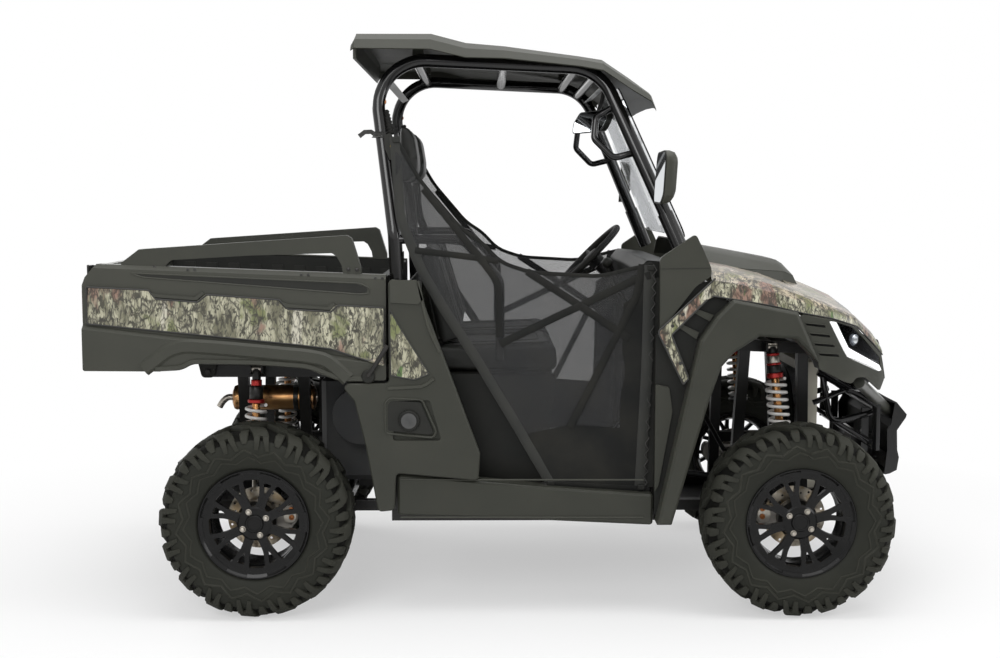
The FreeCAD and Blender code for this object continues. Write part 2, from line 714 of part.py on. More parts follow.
def half_shaft(x, outer_y):
    inner = V(x, drive_half_y + fit_gap, axle_z)
    outer = V(x, outer_y, axle_z)
    shaft = rod(inner, outer, shaft_radius)
    inner_boot = Part.makeCone(boot_radius, shaft_radius * 1.4, boot_length, inner, Y_AXIS)
    outer_boot = Part.makeCone(boot_radius * 0.8, shaft_radius * 1.4, boot_length * 0.7, outer, V(0, -1, 0))
    return fuse([shaft, inner_boot, outer_boot])


front_shaft = half_shaft(front_axle_x, front_ball_y - upright_half * math.sqrt(2) - moving_gap)
rear_shaft = half_shaft(rear_axle_x, rear_ball_y - upright_half - fit_gap)
nodes["half_shafts"] = Part.makeCompound([both_sides(front_shaft), both_sides(rear_shaft)])

# Driveline: engine block with its belt cover, rear and front gear cases
engine_x0 = -715.0
engine_x1 = -440.0
engine_half_y = 190.0
engine_z0 = 385.0
engine_z1 = 790.0
gear_case_half_x = 75.0
gear_case_z0 = rail_z - rail_size / 2 + fit_gap
propeller_z = 415.0
gear_case_z1 = 430.0
belt_cover_radius = 108.0
belt_cover_x = -555.0
belt_cover_z = 650.0
belt_cover_depth = 90.0
engine = box(engine_x0, engine_x1, -engine_half_y, engine_half_y, engine_z0, engine_z1)
engine = engine.makeChamfer(overrun, engine.Edges)
belt_cover = rod(V(belt_cover_x, -engine_half_y + overrun, belt_cover_z),
                 V(belt_cover_x, -engine_half_y - belt_cover_depth, belt_cover_z), belt_cover_radius)
rear_case = box(rear_axle_x - gear_case_half_x, engine_x0 + overrun * 2, -drive_half_y, drive_half_y,
                gear_case_z0, gear_case_z1)
engine_solid = fuse([engine, belt_cover, rear_case])
front_case = box(front_axle_x - gear_case_half_x, front_axle_x + gear_case_half_x, -drive_half_y, drive_half_y,
                 gear_case_z0, gear_case_z1)
engine_feet = [box(cross_member_xs[1] - overrun / 2, cross_member_xs[1] + overrun / 2, side * drive_half_y - overrun,
                   side * drive_half_y + overrun, rail_z + rail_size / 2 + fit_gap, engine_z0 + 2 * overrun)
               for side in (-1, 1)]
propeller_shaft = tube([V(engine_x1 - overrun, 0, propeller_z), V(outer_rail_front_x + rail_size, 0, propeller_z - overrun),
                        V(front_axle_x - gear_case_half_x + overrun, 0, axle_z)], overrun * 2, shaft_radius)
nodes["engine_block"] = fuse([engine_solid, front_case, propeller_shaft] + engine_feet)

# Exhaust: can, end cone and tailpipe
muffler_radius = 48.0
muffler_z = 716.0
post_lean_angle = math.atan2(upper_rail_y - rail_y, upper_rail_z - rail_z)
post_inner_y = rail_y + (muffler_z - rail_z) * math.tan(post_lean_angle) - rail_size / 2
muffler_y = (muffler_radius + fit_gap) / math.cos(post_lean_angle) - post_inner_y
muffler_x0 = -945.0
muffler_x1 = -740.0
tailpipe_radius = 25.0
tailpipe_end_x = -1095.0
can = rod(V(muffler_x0, muffler_y, muffler_z), V(muffler_x1, muffler_y, muffler_z), muffler_radius)
cone = Part.makeCone(muffler_radius, tailpipe_radius, overrun * 2, V(muffler_x0, muffler_y, muffler_z), V(-1, 0, 0))
tailpipe = pipe(V(muffler_x0, muffler_y, muffler_z), V(tailpipe_end_x, muffler_y, muffler_z - overrun),
                tailpipe_radius, tailpipe_radius - 2.0)
header = rod(V(muffler_x1, muffler_y, muffler_z), V(muffler_x1 + overrun * 1.2, muffler_y, muffler_z), tailpipe_radius)
nodes["muffler"] = fuse([can, cone, tailpipe, header])

# Radiator: core between side tanks, round fan shroud behind
radiator_x0 = 1141.0
radiator_x1 = 1181.0
radiator_half_y = 226.0
radiator_z0 = 606.0
radiator_z1 = 846.0
radiator_tank = 30.0
fan_radius = 105.0
core = box(radiator_x0 + 6.0, radiator_x1 - 6.0, -radiator_half_y, radiator_half_y, radiator_z0, radiator_z1)
tank = box(radiator_x0, radiator_x1, radiator_half_y - radiator_tank, radiator_half_y, radiator_z0, radiator_z1)
fan_z = (radiator_z0 + radiator_z1) / 2
shroud = rod(V(radiator_x0 - radiator_tank, 0, fan_z), V(radiator_x0 + 10.0, 0, fan_z), fan_radius)
foot_y = radiator_half_y - radiator_tank
feet = [box(radiator_x0 + 6.0, radiator_x1, side * foot_y - 12.0, side * foot_y + 12.0,
            rail_z + rail_size / 2 + fit_gap, radiator_z0) for side in (-1, 1)]
nodes["radiator"] = fuse([core, tank, mirrored(tank), shroud] + feet)

# Steering: wheel, column, rack housing on the frame, and the sliding rack with its tie rods
wheel_centre = V(351.0, 350.0, 1231.0)
shaft_bend = V(700.0, 350.0, 800.0)
column_axis = V(1.0, 0.0, -1.0).normalize()
steering_rim_radius = 172.0
steering_grip = 13.0
column_length = 345.0
column_radius = 26.0
stub_radius = 11.0
stub_top = 22.0
rack_radius = 18.0
rack_half = 175.0
rack_point = V(steer_arm_x, 130.0, tie_rod_z)


def steering_wheel():
    ring = Part.makeTorus(steering_rim_radius - steering_grip, steering_grip, wheel_centre, column_axis)
    hub = rod(wheel_centre + column_axis * (-4.0), wheel_centre + column_axis * 52.0, 34.0)
    pieces = [ring, hub]
    side = Y_AXIS
    up = column_axis.cross(side)
    for angle in (0, 180, 270):
        a = math.radians(angle)
        direction = side * math.cos(a) + up * math.sin(a)
        end = wheel_centre + direction * (steering_rim_radius - steering_grip)
        pieces.append(bar(wheel_centre + column_axis * 18.0, end, 12.0, 30.0))
    stub_room = rod(wheel_centre + column_axis * (stub_top - fit_gap), wheel_centre + column_axis * column_length,
                    stub_radius + fit_gap)
    return fuse(pieces).cut(stub_room)


nodes["steering_wheel"] = steering_wheel()
column_top = wheel_centre + column_axis * (52.0 + moving_gap)
column_foot = wheel_centre + column_axis * column_length
joint_shaft = tube([column_foot, shaft_bend, rack_point + V(0, 0, rack_radius * 0.5)], 30.0, 9.0)
rack_housing = pipe(V(steer_arm_x, -rack_half, tie_rod_z), V(steer_arm_x, rack_half, tie_rod_z),
                    rack_radius, tie_rod_radius + fit_gap)
rack_legs = [box(steer_arm_x - 8.0, steer_arm_x + 8.0, side * (rack_half - 20.0) - 10.0,
                 side * (rack_half - 20.0) + 10.0, rail_z + rail_size / 2, tie_rod_z - rack_radius * 0.7)
             for side in (-1, 1)]
rack_beam = box(steer_arm_x - 14.0, steer_arm_x + 14.0, -rail_y + rail_size / 2 + fit_gap,
                rail_y - rail_size / 2 - fit_gap, rail_z - rail_size / 2 + fit_gap, rail_z + rail_size / 2)
column = rod(column_top, column_foot, column_radius)
column_stub = rod(wheel_centre + column_axis * stub_top, column_foot, stub_radius)
nodes["steering_column"] = fuse([column, column_stub, joint_shaft, rack_housing, rack_beam] + rack_legs)
nodes["steering_column"] = nodes["steering_column"].cut(
    rod(V(steer_arm_x, -rack_half - overrun, tie_rod_z), V(steer_arm_x, rack_half + overrun, tie_rod_z),
        tie_rod_radius + fit_gap))
tie_rod = rod(V(steer_arm_x, -steer_arm_y, tie_rod_z), V(steer_arm_x, steer_arm_y, tie_rod_z), tie_rod_radius)
tie_eye_half = tie_rod_radius * 0.8
tie_eyes = [rod(V(steer_arm_x, side * steer_arm_y, tie_rod_z - tie_eye_half),
                V(steer_arm_x, side * steer_arm_y, tie_rod_z + tie_eye_half), 14.0) for side in (-1, 1)]
nodes["tie_rods"] = fuse([tie_rod] + tie_eyes)


# Roll cage: bent tubes, cross tubes, hip hoops, grab handles
cage_radius = 23.0
cage_bend = 165.0
cage_foot_z = 880.0
cage_low_y = 600.0
cage_top_y = 470.0
rear_pillar_foot_x = -385.0
rear_pillar_knee_x = -403.0
rear_pillar_top_x = -485.0
cage_rear_top_z = 1962.0
cage_front_top_x = 322.0
cage_front_top_z = 1925.0
front_pillar_foot_x = 612.0
front_pillar_foot_z = 1265.0
shoulder_bar_z = 1345.0
head_bar_z = 1620.0
hip_radius = 16.0
hip_front_x = -34.0
handle_radius = 12.0


def pillar_point(z):
    """A point on the rear pillar's centre line."""
    if z > shoulder_bar_z:
        share = (z - shoulder_bar_z) / (cage_rear_top_z - shoulder_bar_z)
        return V(rear_pillar_knee_x + share * (rear_pillar_top_x - rear_pillar_knee_x),
                 cage_low_y + share * (cage_top_y - cage_low_y), z)
    share = (z - cage_foot_z) / (shoulder_bar_z - cage_foot_z)
    return V(rear_pillar_foot_x + share * (rear_pillar_knee_x - rear_pillar_foot_x), cage_low_y, z)


def front_pillar_point(z):
    """A point on the front pillar's centre line."""
    share = (z - front_pillar_foot_z) / (cage_front_top_z - front_pillar_foot_z)
    return V(front_pillar_foot_x + share * (cage_front_top_x - front_pillar_foot_x),
             cage_low_y + share * (cage_top_y - cage_low_y), z)


cage_side = tube([pillar_point(cage_foot_z), pillar_point(shoulder_bar_z), pillar_point(cage_rear_top_z),
                  front_pillar_point(cage_front_top_z), front_pillar_point(front_pillar_foot_z)],
                 cage_bend, cage_radius)
foot_plate = box(rear_pillar_foot_x - cage_radius * 1.5, rear_pillar_foot_x + cage_radius * 1.5,
                 outer_rail_y - rail_size / 2, cage_low_y + cage_radius * 1.5,
                 rear_upright_top_z + fit_gap, cage_foot_z + fit_gap)
shoulder = pillar_point(shoulder_bar_z)
hip = tube([shoulder + V(0, 0, -overrun), V(hip_front_x - 131.0, cage_low_y, shoulder_bar_z - overrun),
            V(hip_front_x, cage_low_y, 1185.0), V(hip_front_x, cage_low_y, 900.0)], 60.0, hip_radius)
handle_low = front_pillar_point(1630.0) + V(0, -cage_radius - 14.0, 0)
handle_shares = ((0.0, 0.0), (-0.52, -0.13), (-0.95, 0.30), (-0.90, 0.78), (-0.50, 1.0))
handle_height = 160.0
handle_path = [V(handle_low.x + sx * handle_height, handle_low.y + cage_radius - sz * overrun * 1.5,
                 handle_low.z + sz * handle_height) for sx, sz in handle_shares]
handle = tube(handle_path, 28.0, handle_radius)
pillar_foot_sleeve = rod(front_pillar_point(front_pillar_foot_z), front_pillar_point(front_pillar_foot_z + 150.0),
                         cage_radius * 1.18)
cage_left = fuse([cage_side, foot_plate, hip, handle, pillar_foot_sleeve])
cage_parts = [cage_left, mirrored(cage_left)]
cross_points = [pillar_point(shoulder_bar_z), pillar_point(head_bar_z)]
for point in cross_points:
    cage_parts.append(rod(point, V(point.x, -point.y, point.z), cage_radius * 0.8))
cross_tube_radius = cage_radius * 0.8
roof_cross_xs = (-330.0, -20.0, 235.0)


def cage_roof_z(x):
    """The height of the cage's top tubes along the car."""
    slope = (cage_front_top_z - cage_rear_top_z) / (cage_front_top_x - rear_pillar_top_x)
    return cage_rear_top_z + slope * (x - rear_pillar_top_x)


for x in roof_cross_xs:
    z = cage_roof_z(x)
    cage_parts.append(rod(V(x, -cage_top_y, z), V(x, cage_top_y, z), cross_tube_radius))
front_corner = front_pillar_point(cage_front_top_z)
toward_foot = (front_pillar_point(front_pillar_foot_z) - front_corner).normalize()
toward_rear = (pillar_point(cage_rear_top_z) - front_corner).normalize()
half_turn = toward_foot.getAngle(toward_rear) / 2
front_cross = front_corner + (toward_foot + toward_rear).normalize() * (cage_bend / math.sin(half_turn) - cage_bend)
cage_parts.append(rod(V(front_cross.x, -front_cross.y, front_cross.z), front_cross, cage_radius * 0.8))
nodes["roll_cage"] = fuse(cage_parts)

# Roof: moulded shell with a raised rear, a sloping nose and turned-down sides
roof_half = 622.0
roof_rear_x = -548.0
roof_length = 1053.0
roof_low_z = 1760.0
roof_height = 284.0
roof_wall = 5.0
roof_crown = 12.0
roof_side_drop = 58.0
roof_bevel = 95.0
roof_top_shares = ((0.0, 0.86), (0.012, 0.985), (0.26, 0.985), (0.375, 0.875), (0.504, 0.835), (0.75, 0.715),
                   (0.828, 0.67), (0.917, 0.45), (0.985, 0.27), (1.0, 0.10))
roof_edge_drop_shares = (0.5, 1.0, 1.05, 1.0, 0.85, 0.72, 0.75, 0.75, 0.6, 0.3)


def roof_line(x, top_z, drop):
    half = roof_half
    edge = drop * roof_side_drop
    right = [(-half, top_z - edge), (-half + roof_bevel * 0.2, top_z - edge * 0.45), (-half + roof_bevel, top_z),
             (-half / 2, top_z + roof_crown * 0.7)]
    line = right + [(0.0, top_z + roof_crown)] + [(-y, z) for y, z in right[::-1]]
    return (x, line)


roof_points = placed(roof_top_shares, roof_rear_x, roof_low_z, roof_length, roof_height)


def roof_top_z(x):
    """The roof's top beside its centre line, between the stations."""
    for (x0, z0), (x1, z1) in zip(roof_points, roof_points[1:]):
        if x0 <= x <= x1:
            return z0 + (z1 - z0) * (x - x0) / (x1 - x0)


roof_stations = [roof_line(x, z, drop) for (x, z), drop in zip(roof_points, roof_edge_drop_shares)]
roof_skin = skin(roof_stations, roof_wall)
rear_lip = bar(V(roof_rear_x + roof_wall, -roof_half + roof_bevel, roof_points[0][1] - overrun),
               V(roof_rear_x + roof_wall, roof_half - roof_bevel, roof_points[0][1] - overrun),
               roof_wall * 2, overrun * 3)
roof_feet = []
foot_half = overrun
for x in (roof_cross_xs[0], roof_cross_xs[-1]):
    for side in (-1, 1):
        foot_y = side * roof_half / 2
        roof_feet.append(box(x - foot_half, x + foot_half, foot_y - foot_half, foot_y + foot_half,
                             cage_roof_z(x) + cross_tube_radius + fit_gap,
                             roof_top_z(x) + roof_crown * 0.7 - roof_wall / 2))
nodes["roof"] = fuse([roof_skin, rear_lip] + roof_feet)

# Windshield: clear sheet ahead of the front pillars
glass_thickness = 5.0
clamp_radius = cage_radius + 7.0
glass_offset = clamp_radius + glass_thickness / 2 + fit_gap
pillar_run = (front_pillar_point(cage_front_top_z) - front_pillar_point(front_pillar_foot_z)).normalize()
glass_normal = V(pillar_run.z, 0, -pillar_run.x).normalize()
glass_low_z = 1318.0
glass_high_z = 1845.0
low_point = front_pillar_point(glass_low_z) + glass_normal * glass_offset
high_point = front_pillar_point(glass_high_z) + glass_normal * glass_offset
glass_points = [V(low_point.x, -low_point.y, low_point.z), low_point, high_point,
                V(high_point.x, -high_point.y, high_point.z)]
glass_face = Part.Face(rounded_wire(glass_points, 40.0))
windshield = glass_face.extrude(glass_normal * glass_thickness)
windshield.translate(glass_normal * (-glass_thickness / 2))
nodes["windshield"] = windshield

# Mirrors: two door mirrors on arms from the front pillars, one cabin mirror
mirror_width = 150.0
mirror_height = 190.0
mirror_depth = 40.0
mirror_x = 538.0
mirror_inner_y = 640.0
mirror_z = 1538.0
mirror_arm_z = 1500.0


def door_mirror():
    outline = [(mirror_inner_y, mirror_z - mirror_height * 0.42), (mirror_inner_y + mirror_width * 0.9,
               mirror_z - mirror_height / 2), (mirror_inner_y + mirror_width, mirror_z + mirror_height * 0.4),
               (mirror_inner_y + mirror_width * 0.12, mirror_z + mirror_height / 2)]
    shell = front_prism(outline, mirror_x - mirror_depth / 2, mirror_x + mirror_depth / 2, 34.0)
    front_rim = [e for e in shell.Edges if e.BoundBox.XMin > mirror_x + mirror_depth / 2 - fit_gap]
    shell = shell.makeChamfer(mirror_depth * 0.35, front_rim)
    root = front_pillar_point(mirror_arm_z)
    clamp = rod(root - pillar_run * 24.0, root + pillar_run * 24.0, clamp_radius)
    clamp = clamp.cut(rod(root - pillar_run * 44.0, root + pillar_run * 44.0, cage_radius + fit_gap))
    arm = rod(root + V(0, cage_radius + 4.0, 0), V(mirror_x, mirror_inner_y + overrun, mirror_arm_z + 15.0), 10.0)
    return fuse([shell, clamp, arm])


door_mirror_left = door_mirror()
cabin_x = front_cross.x - 12.0
cabin_mirror = front_prism([(-125.0, 1745.0), (125.0, 1745.0), (138.0, 1806.0), (-138.0, 1806.0)],
                           cabin_x, cabin_x + 24.0, 24.0)
cabin_stem = rod(V(front_cross.x, 0, 1790.0), V(front_cross.x, 0, front_cross.z - cage_radius * 0.8 - fit_gap), 8.0)
nodes["mirrors"] = Part.makeCompound([both_sides(door_mirror_left), cabin_mirror.fuse(cabin_stem)])

# Floor: one bent tray with a toe board and a raised tunnel
floor_half = 535.0
floor_wall = 5.0
floor_z = outer_rail_z + rail_size / 2 + fit_gap + floor_wall
floor_rear_x = -372.0
toe_shares = ((0.0, 0.0), (0.80, 0.0), (0.94, 0.12), (0.985, 0.55), (1.0, 0.985))
floor_length = 970.0
floor_rise = 545.0
tray = placed(toe_shares, floor_rear_x, floor_z, floor_length, floor_rise)
tray_ring = tray + inset_line(tray, floor_wall)[::-1]
floor_sheet = prism(tray_ring, -floor_half, floor_half)
tunnel_half = 92.0
tunnel_height = 95.0
tunnel_outline = [(-tunnel_half, floor_z - 2.0), (tunnel_half, floor_z - 2.0), (tunnel_half * 0.8, floor_z + tunnel_height),
                  (-tunnel_half * 0.8, floor_z + tunnel_height)]
tunnel = front_prism(tunnel_outline, floor_rear_x, floor_rear_x + floor_length * 0.955)
tunnel_core = front_prism([(y * 0.94, z - floor_wall - (0 if z > floor_z else overrun)) for y, z in tunnel_outline],
                          floor_rear_x - overrun, floor_rear_x + floor_length * 0.955 + overrun)
floor_solid = fuse([floor_sheet, tunnel])
nodes["floor_pan"] = floor_solid.cut(tunnel_core)

# Seats: moulded base with a rear wall, cushions, backs, headrests
seat_base_x0 = -368.0
seat_base_x1 = 168.0
seat_base_z = 842.0
seat_half = 530.0
seat_wall = 6.0
seat_inner_y = 32.0
seat_width = 470.0
cushion_height = 112.0
back_thickness = 92.0
back_base = (-158.0, 960.0)
back_height = 372.0
back_lean_deg = 17.0


def seat_base():
    outline = [(seat_base_x0, floor_z + fit_gap), (seat_base_x1 - 60.0, floor_z + fit_gap),
               (seat_base_x1, seat_base_z - 40.0), (seat_base_x1 - 10.0, seat_base_z), (seat_base_x0, seat_base_z)]
    body = prism(outline, -seat_half, seat_half, 14.0)
    core = prism([(seat_base_x0 - overrun, floor_z - overrun), (seat_base_x1 - 60.0 - seat_wall, floor_z - overrun),
                  (seat_base_x1 - seat_wall, seat_base_z - 40.0), (seat_base_x1 - 16.0, seat_base_z - seat_wall),
                  (seat_base_x0 - overrun, seat_base_z - seat_wall)], -seat_half + seat_wall, seat_half - seat_wall)
    wall = box(seat_base_x0, seat_base_x0 + seat_wall, -seat_half, seat_half, seat_base_z - seat_wall, 1165.0)
    return fuse([body.cut(core), wall])


tunnel_room = front_prism([(y * 1.05, z + (seam_gap if z > floor_z else -overrun)) for y, z in tunnel_outline],
                          seat_base_x0 - overrun, seat_base_x1 + overrun)
nodes["seat_base"] = seat_base().cut(tunnel_room)
cushion_outline = [(seat_base_x0 + 78.0, seat_base_z + fit_gap), (seat_base_x1 + 12.0, seat_base_z + fit_gap),
                   (seat_base_x1 + 28.0, seat_base_z + cushion_height), (seat_base_x0 + 90.0, seat_base_z + 96.0)]
cushion = prism(cushion_outline, seat_inner_y, seat_inner_y + seat_width, 30.0)
nodes["seat_cushions"] = both_sides(cushion)
lean = math.radians(back_lean_deg)


def leaned(base, along, out):
    """A point on the seat back: along it from its base, then out from its front face."""
    return (base[0] - math.sin(lean) * along + math.cos(lean) * out,
            base[1] + math.cos(lean) * along + math.sin(lean) * out)


back_outline = [leaned(back_base, 0, 0), leaned(back_base, back_height, 0),
                leaned(back_base, back_height, -back_thickness * 0.7), leaned(back_base, 0, -back_thickness)]
seat_back = prism(back_outline, seat_inner_y, seat_inner_y + seat_width, 26.0)
nodes["seat_backs"] = both_sides(seat_back)
head_x = -398.0
head_depth = 70.0
head_z0 = 1508.0
head_height = 226.0
head_width = 250.0
head_y0 = seat_inner_y + (seat_width - head_width) / 2
head_shares = ((0.0, 0.10), (0.30, 0.0), (1.0, 0.22), (0.86, 0.75), (0.50, 1.0), (0.0, 1.0))
head_outline = placed(head_shares, head_x, head_z0, head_depth, head_height)
headrest = prism(head_outline, head_y0, head_y0 + head_width, 16.0)
head_point = pillar_point(head_bar_z)
head_arm_gap = head_x - (head_point.x + cage_radius * 0.8)
head_arm = box(head_point.x + cage_radius * 0.8 + fit_gap, head_x + 8.0, head_y0 + head_width * 0.3,
               head_y0 + head_width * 0.7, head_bar_z - 24.0, head_bar_z + 24.0)
nodes["headrests"] = both_sides(headrest.fuse(head_arm))


# Cab rear quarter panels with the mudguard leg and the filler recess
cab_panel_y = 682.0
boss_radius = 10.0
panel_boss_zs = (560.0, 805.0)
cab_panel_inner_y = 640.0
cab_rear_x = -420.0
cab_panel_low_z = 375.0
cab_panel_height = 815.0
cab_panel_length = 316.0
leg_reach = 172.0
bed_seam_z = 828.0
cab_panel_shares = ((0.0, 1.0), (0.31, 0.985), (0.39, 0.887), (0.58, 0.69), (0.72, 0.545), (1.0, 0.249),
                    (0.98, 0.136), (0.07, 0.168), (0.05, 0.006), (-0.13, 0.0), (-0.26, 0.287), (-0.38, 0.48),
                    (-0.544, 0.556), (0.0, 0.556))
cap_recess_shares = ((0.0, 0.0), (1.0, 0.0), (0.76, 1.0), (0.04, 0.98))
cap_recess_length = 170.0
cap_recess_height = 142.0
cap_recess_depth = 14.0
cap_x = -348.0
cap_z = 699.0
cap_radius = 36.0
cab_outline = placed(cab_panel_shares, cab_rear_x, cab_panel_low_z, cab_panel_length, cab_panel_height)
cab_panel = hollow_panel(cab_outline, cab_panel_inner_y, cab_panel_y, 16.0, panel_wall, 4.0)
recess_outline = placed(cap_recess_shares, cab_rear_x - 8.0 + overrun, cap_z - cap_recess_height / 2,
                        cap_recess_length, cap_recess_height)
recess_face = Part.Face(rounded_wire([V(x, cab_panel_y - cap_recess_depth - panel_wall, z)
                                      for x, z in recess_outline], 10.0))
recess_back = recess_face.makeOffset2D(panel_wall).extrude(V(0, cap_recess_depth + panel_wall / 2, 0))
recess_room = prism(recess_outline, cab_panel_y - cap_recess_depth, cab_panel_y + overrun, 10.0)
cab_panel = fuse([cab_panel, recess_back]).cut(recess_room)
cab_panel = cab_panel.fuse(rod(V(cap_x, cab_panel_y - cap_recess_depth - panel_wall / 2, cap_z),
                               V(cap_x, cab_panel_y - 1.0, cap_z), cap_radius))
panel_bosses = [rod(V(outer_rail_rear_x, outer_rail_y + rail_size / 2 + fit_gap, z),
                    V(outer_rail_rear_x, cab_panel_y - panel_wall / 2, z), boss_radius) for z in panel_boss_zs]
cab_panel = fuse([cab_panel] + panel_bosses)
nodes["cab_rear_panels"] = both_sides(cab_panel)

# Camouflage corner panel that lies on the quarter panel beside the bed
corner_shares = ((0.0, 1.0), (0.27, 0.71), (1.0, 0.0), (0.62, -0.09), (0.02, -0.02))
corner_x = cab_rear_x + 4.0
corner_z = 862.0
corner_length = 136.0
corner_height = 226.0
corner_thickness = 4.0
corner_outline = placed(corner_shares, corner_x, corner_z, corner_length, corner_height)
corner_panel = prism(corner_outline, cab_panel_y + fit_gap, cab_panel_y + fit_gap + corner_thickness, 6.0)
nodes["cab_corner_panels"] = both_sides(corner_panel)

# Sills along the door openings
sill_y = 662.0
sill_inner_y = outer_rail_y + rail_size / 2 + fit_gap
sill_rear_x = -394.0
sill_length = 898.0
sill_low_z = 321.0
sill_height = 184.0
sill_shares = ((0.0, 1.0), (0.57, 0.745), (1.0, 0.595), (1.0, 0.0), (0.52, 0.11), (0.0, 0.20))
sill_outline = placed(sill_shares, sill_rear_x, sill_low_z, sill_length, sill_height)
sill = hollow_panel(sill_outline, sill_inner_y, sill_y, 12.0, panel_wall, 8.0)
nodes["side_sills"] = both_sides(sill)

# Front flares: arched guards over the front wheels
flare_y = 728.0
flare_inner_y = 612.0
flare_rear_x = 511.0
flare_length = 567.0
flare_low_z = 335.0
flare_height = 776.0
flare_shares = ((0.98, 0.73), (0.838, 0.838), (0.61, 0.85), (0.459, 0.777), (0.384, 0.714), (0.31, 0.557),
                (0.198, 0.276), (0.092, 0.0), (0.0, 0.0), (0.252, 0.832), (0.347, 0.936))
flare_top_shares = (0.45, 0.842)
# Front body: fender skins either side of the centre hood, all on one lofted form
fender_seam_y = 430.0
fender_stations_x = (694.0, 790.0, 900.0, 1010.0, 1120.0, 1215.0, 1300.0, 1350.0)
fender_crest_z = (1228.0, 1211.0, 1180.0, 1138.0, 1092.0, 1050.0, 985.0, 925.0)
fender_edge_z = (1134.0, 1119.0, 1100.0, 1074.0, 1053.0, 1022.0, 950.0, 905.0)
fender_edge_y = (706.0, 705.0, 704.0, 700.0, 680.0, 632.0, 548.0, 484.0)
hood_centre_z = (1262.0, 1245.0, 1222.0, 1186.0, 1152.0, 1112.0, 1052.0, 1000.0)
fender_wall = 4.0


def fender_low_z(x):
    """The height of the fender's lower edge along the car."""
    edge = list(zip(fender_stations_x, fender_edge_z))
    for (x0, z0), (x1, z1) in zip(edge, edge[1:]):
        if x0 <= x <= x1:
            return z0 + (z1 - z0) * (x - x0) / (x1 - x0)


flare_outline = placed(flare_shares, flare_rear_x, flare_low_z, flare_length, flare_height)
for share in flare_top_shares:
    x = flare_rear_x + share * flare_length
    flare_outline.append((x, fender_low_z(x) - 2 * fit_gap))
flare = hollow_panel(flare_outline, flare_inner_y, flare_y, 0.0, panel_wall, 10.0)
nodes["front_flares"] = both_sides(flare)


def front_line(i):
    """The front body's outer line from the seam to the fender's lower edge."""
    edge_y = fender_edge_y[i]
    crest = fender_crest_z[i]
    seam_y = fender_seam_y * edge_y / fender_edge_y[0]
    seam_z = crest + (hood_centre_z[i] - crest) * 0.45
    drop = crest - fender_edge_z[i]
    return [(seam_y + seam_gap, seam_z), (edge_y - drop * 1.15, crest + 5.0), (edge_y - drop * 0.5, crest - drop * 0.10),
            (edge_y - drop * 0.12, crest - drop * 0.42), (edge_y, fender_edge_z[i])]


def hood_line(i):
    edge_y = fender_edge_y[i]
    crest = fender_crest_z[i]
    seam_y = fender_seam_y * edge_y / fender_edge_y[0]
    seam_z = crest + (hood_centre_z[i] - crest) * 0.45
    middle = [(-seam_y, seam_z), (-seam_y * 0.55, hood_centre_z[i] - 8.0)]
    return middle + [(0.0, hood_centre_z[i])] + [(-y, z) for y, z in middle[::-1]]


fender = skin([(x, front_line(i)) for i, x in enumerate(fender_stations_x)], fender_wall)
strip_shares = ((1.09, 1.0), (0.0, 0.508), (0.0, 0.475), (0.49, 0.0), (0.60, 0.06), (0.25, 0.467), (0.93, 0.80),
                (1.09, 0.83))
strip_x = 513.0
strip_z = 826.0
strip_length = 177.0
strip_height = 368.0
strip_thickness = 5.0
strip_y = 699.0
strip_outline = placed(strip_shares, strip_x, strip_z, strip_length, strip_height)
fender_strip = prism(strip_outline, strip_y - strip_thickness, strip_y, 5.0)
nodes["front_fenders"] = both_sides(fender.fuse(fender_strip))
hood_start = 3
hood_nose_x = 1392.0
hood_nose_z = 952.0
hood_stations = [(x, hood_line(i)) for i, x in enumerate(fender_stations_x) if i >= hood_start]
hood_tip_y = fender_seam_y * fender_edge_y[-1] / fender_edge_y[0]
hood_tip = [(-hood_tip_y, hood_nose_z - 26.0), (-hood_tip_y * 0.55, hood_nose_z - 4.0), (0.0, hood_nose_z),
            (hood_tip_y * 0.55, hood_nose_z - 4.0), (hood_tip_y, hood_nose_z - 26.0)]
nodes["hood"] = skin(hood_stations + [(hood_nose_x, hood_tip)], fender_wall)

# Cowl: raised black centre with an air scoop lip, and the pods beside the doors
cowl_xs = (628.0, 716.0, 860.0, 1004.0 - seam_gap)
cowl_top_z = (1312.0, 1291.0, 1265.0, 1238.0)
cowl_side_z = (1240.0, 1236.0, 1212.0, 1164.0)


def cowl_line(i):
    half = [(-fender_seam_y + 2.0, cowl_side_z[i]), (-fender_seam_y * 0.80, cowl_top_z[i] - 18.0),
            (-fender_seam_y * 0.62, cowl_top_z[i])]
    return half + [(-y, z) for y, z in half[::-1]]


cowl_centre = skin([(x, cowl_line(i)) for i, x in enumerate(cowl_xs)], panel_wall)
pod_shares = ((0.0, 0.76), (0.69, 1.0), (0.81, 0.875), (1.0, 0.56), (1.0, 0.48), (0.71, 0.48), (0.0, 0.03))
pod_x = 516.0
pod_z = 1004.0
pod_length = fender_stations_x[0] - fit_gap - pod_x
pod_height = 341.0
pod_y = strip_y - strip_thickness - fit_gap
pod_inner_y = 628.0
pod_outline = placed(pod_shares, pod_x, pod_z, pod_length, pod_height)
pod = hollow_panel(pod_outline, pod_inner_y, pod_y, 12.0, panel_wall, 6.0)
nodes["cowl"] = Part.makeCompound([cowl_centre, pod, mirrored(pod)])

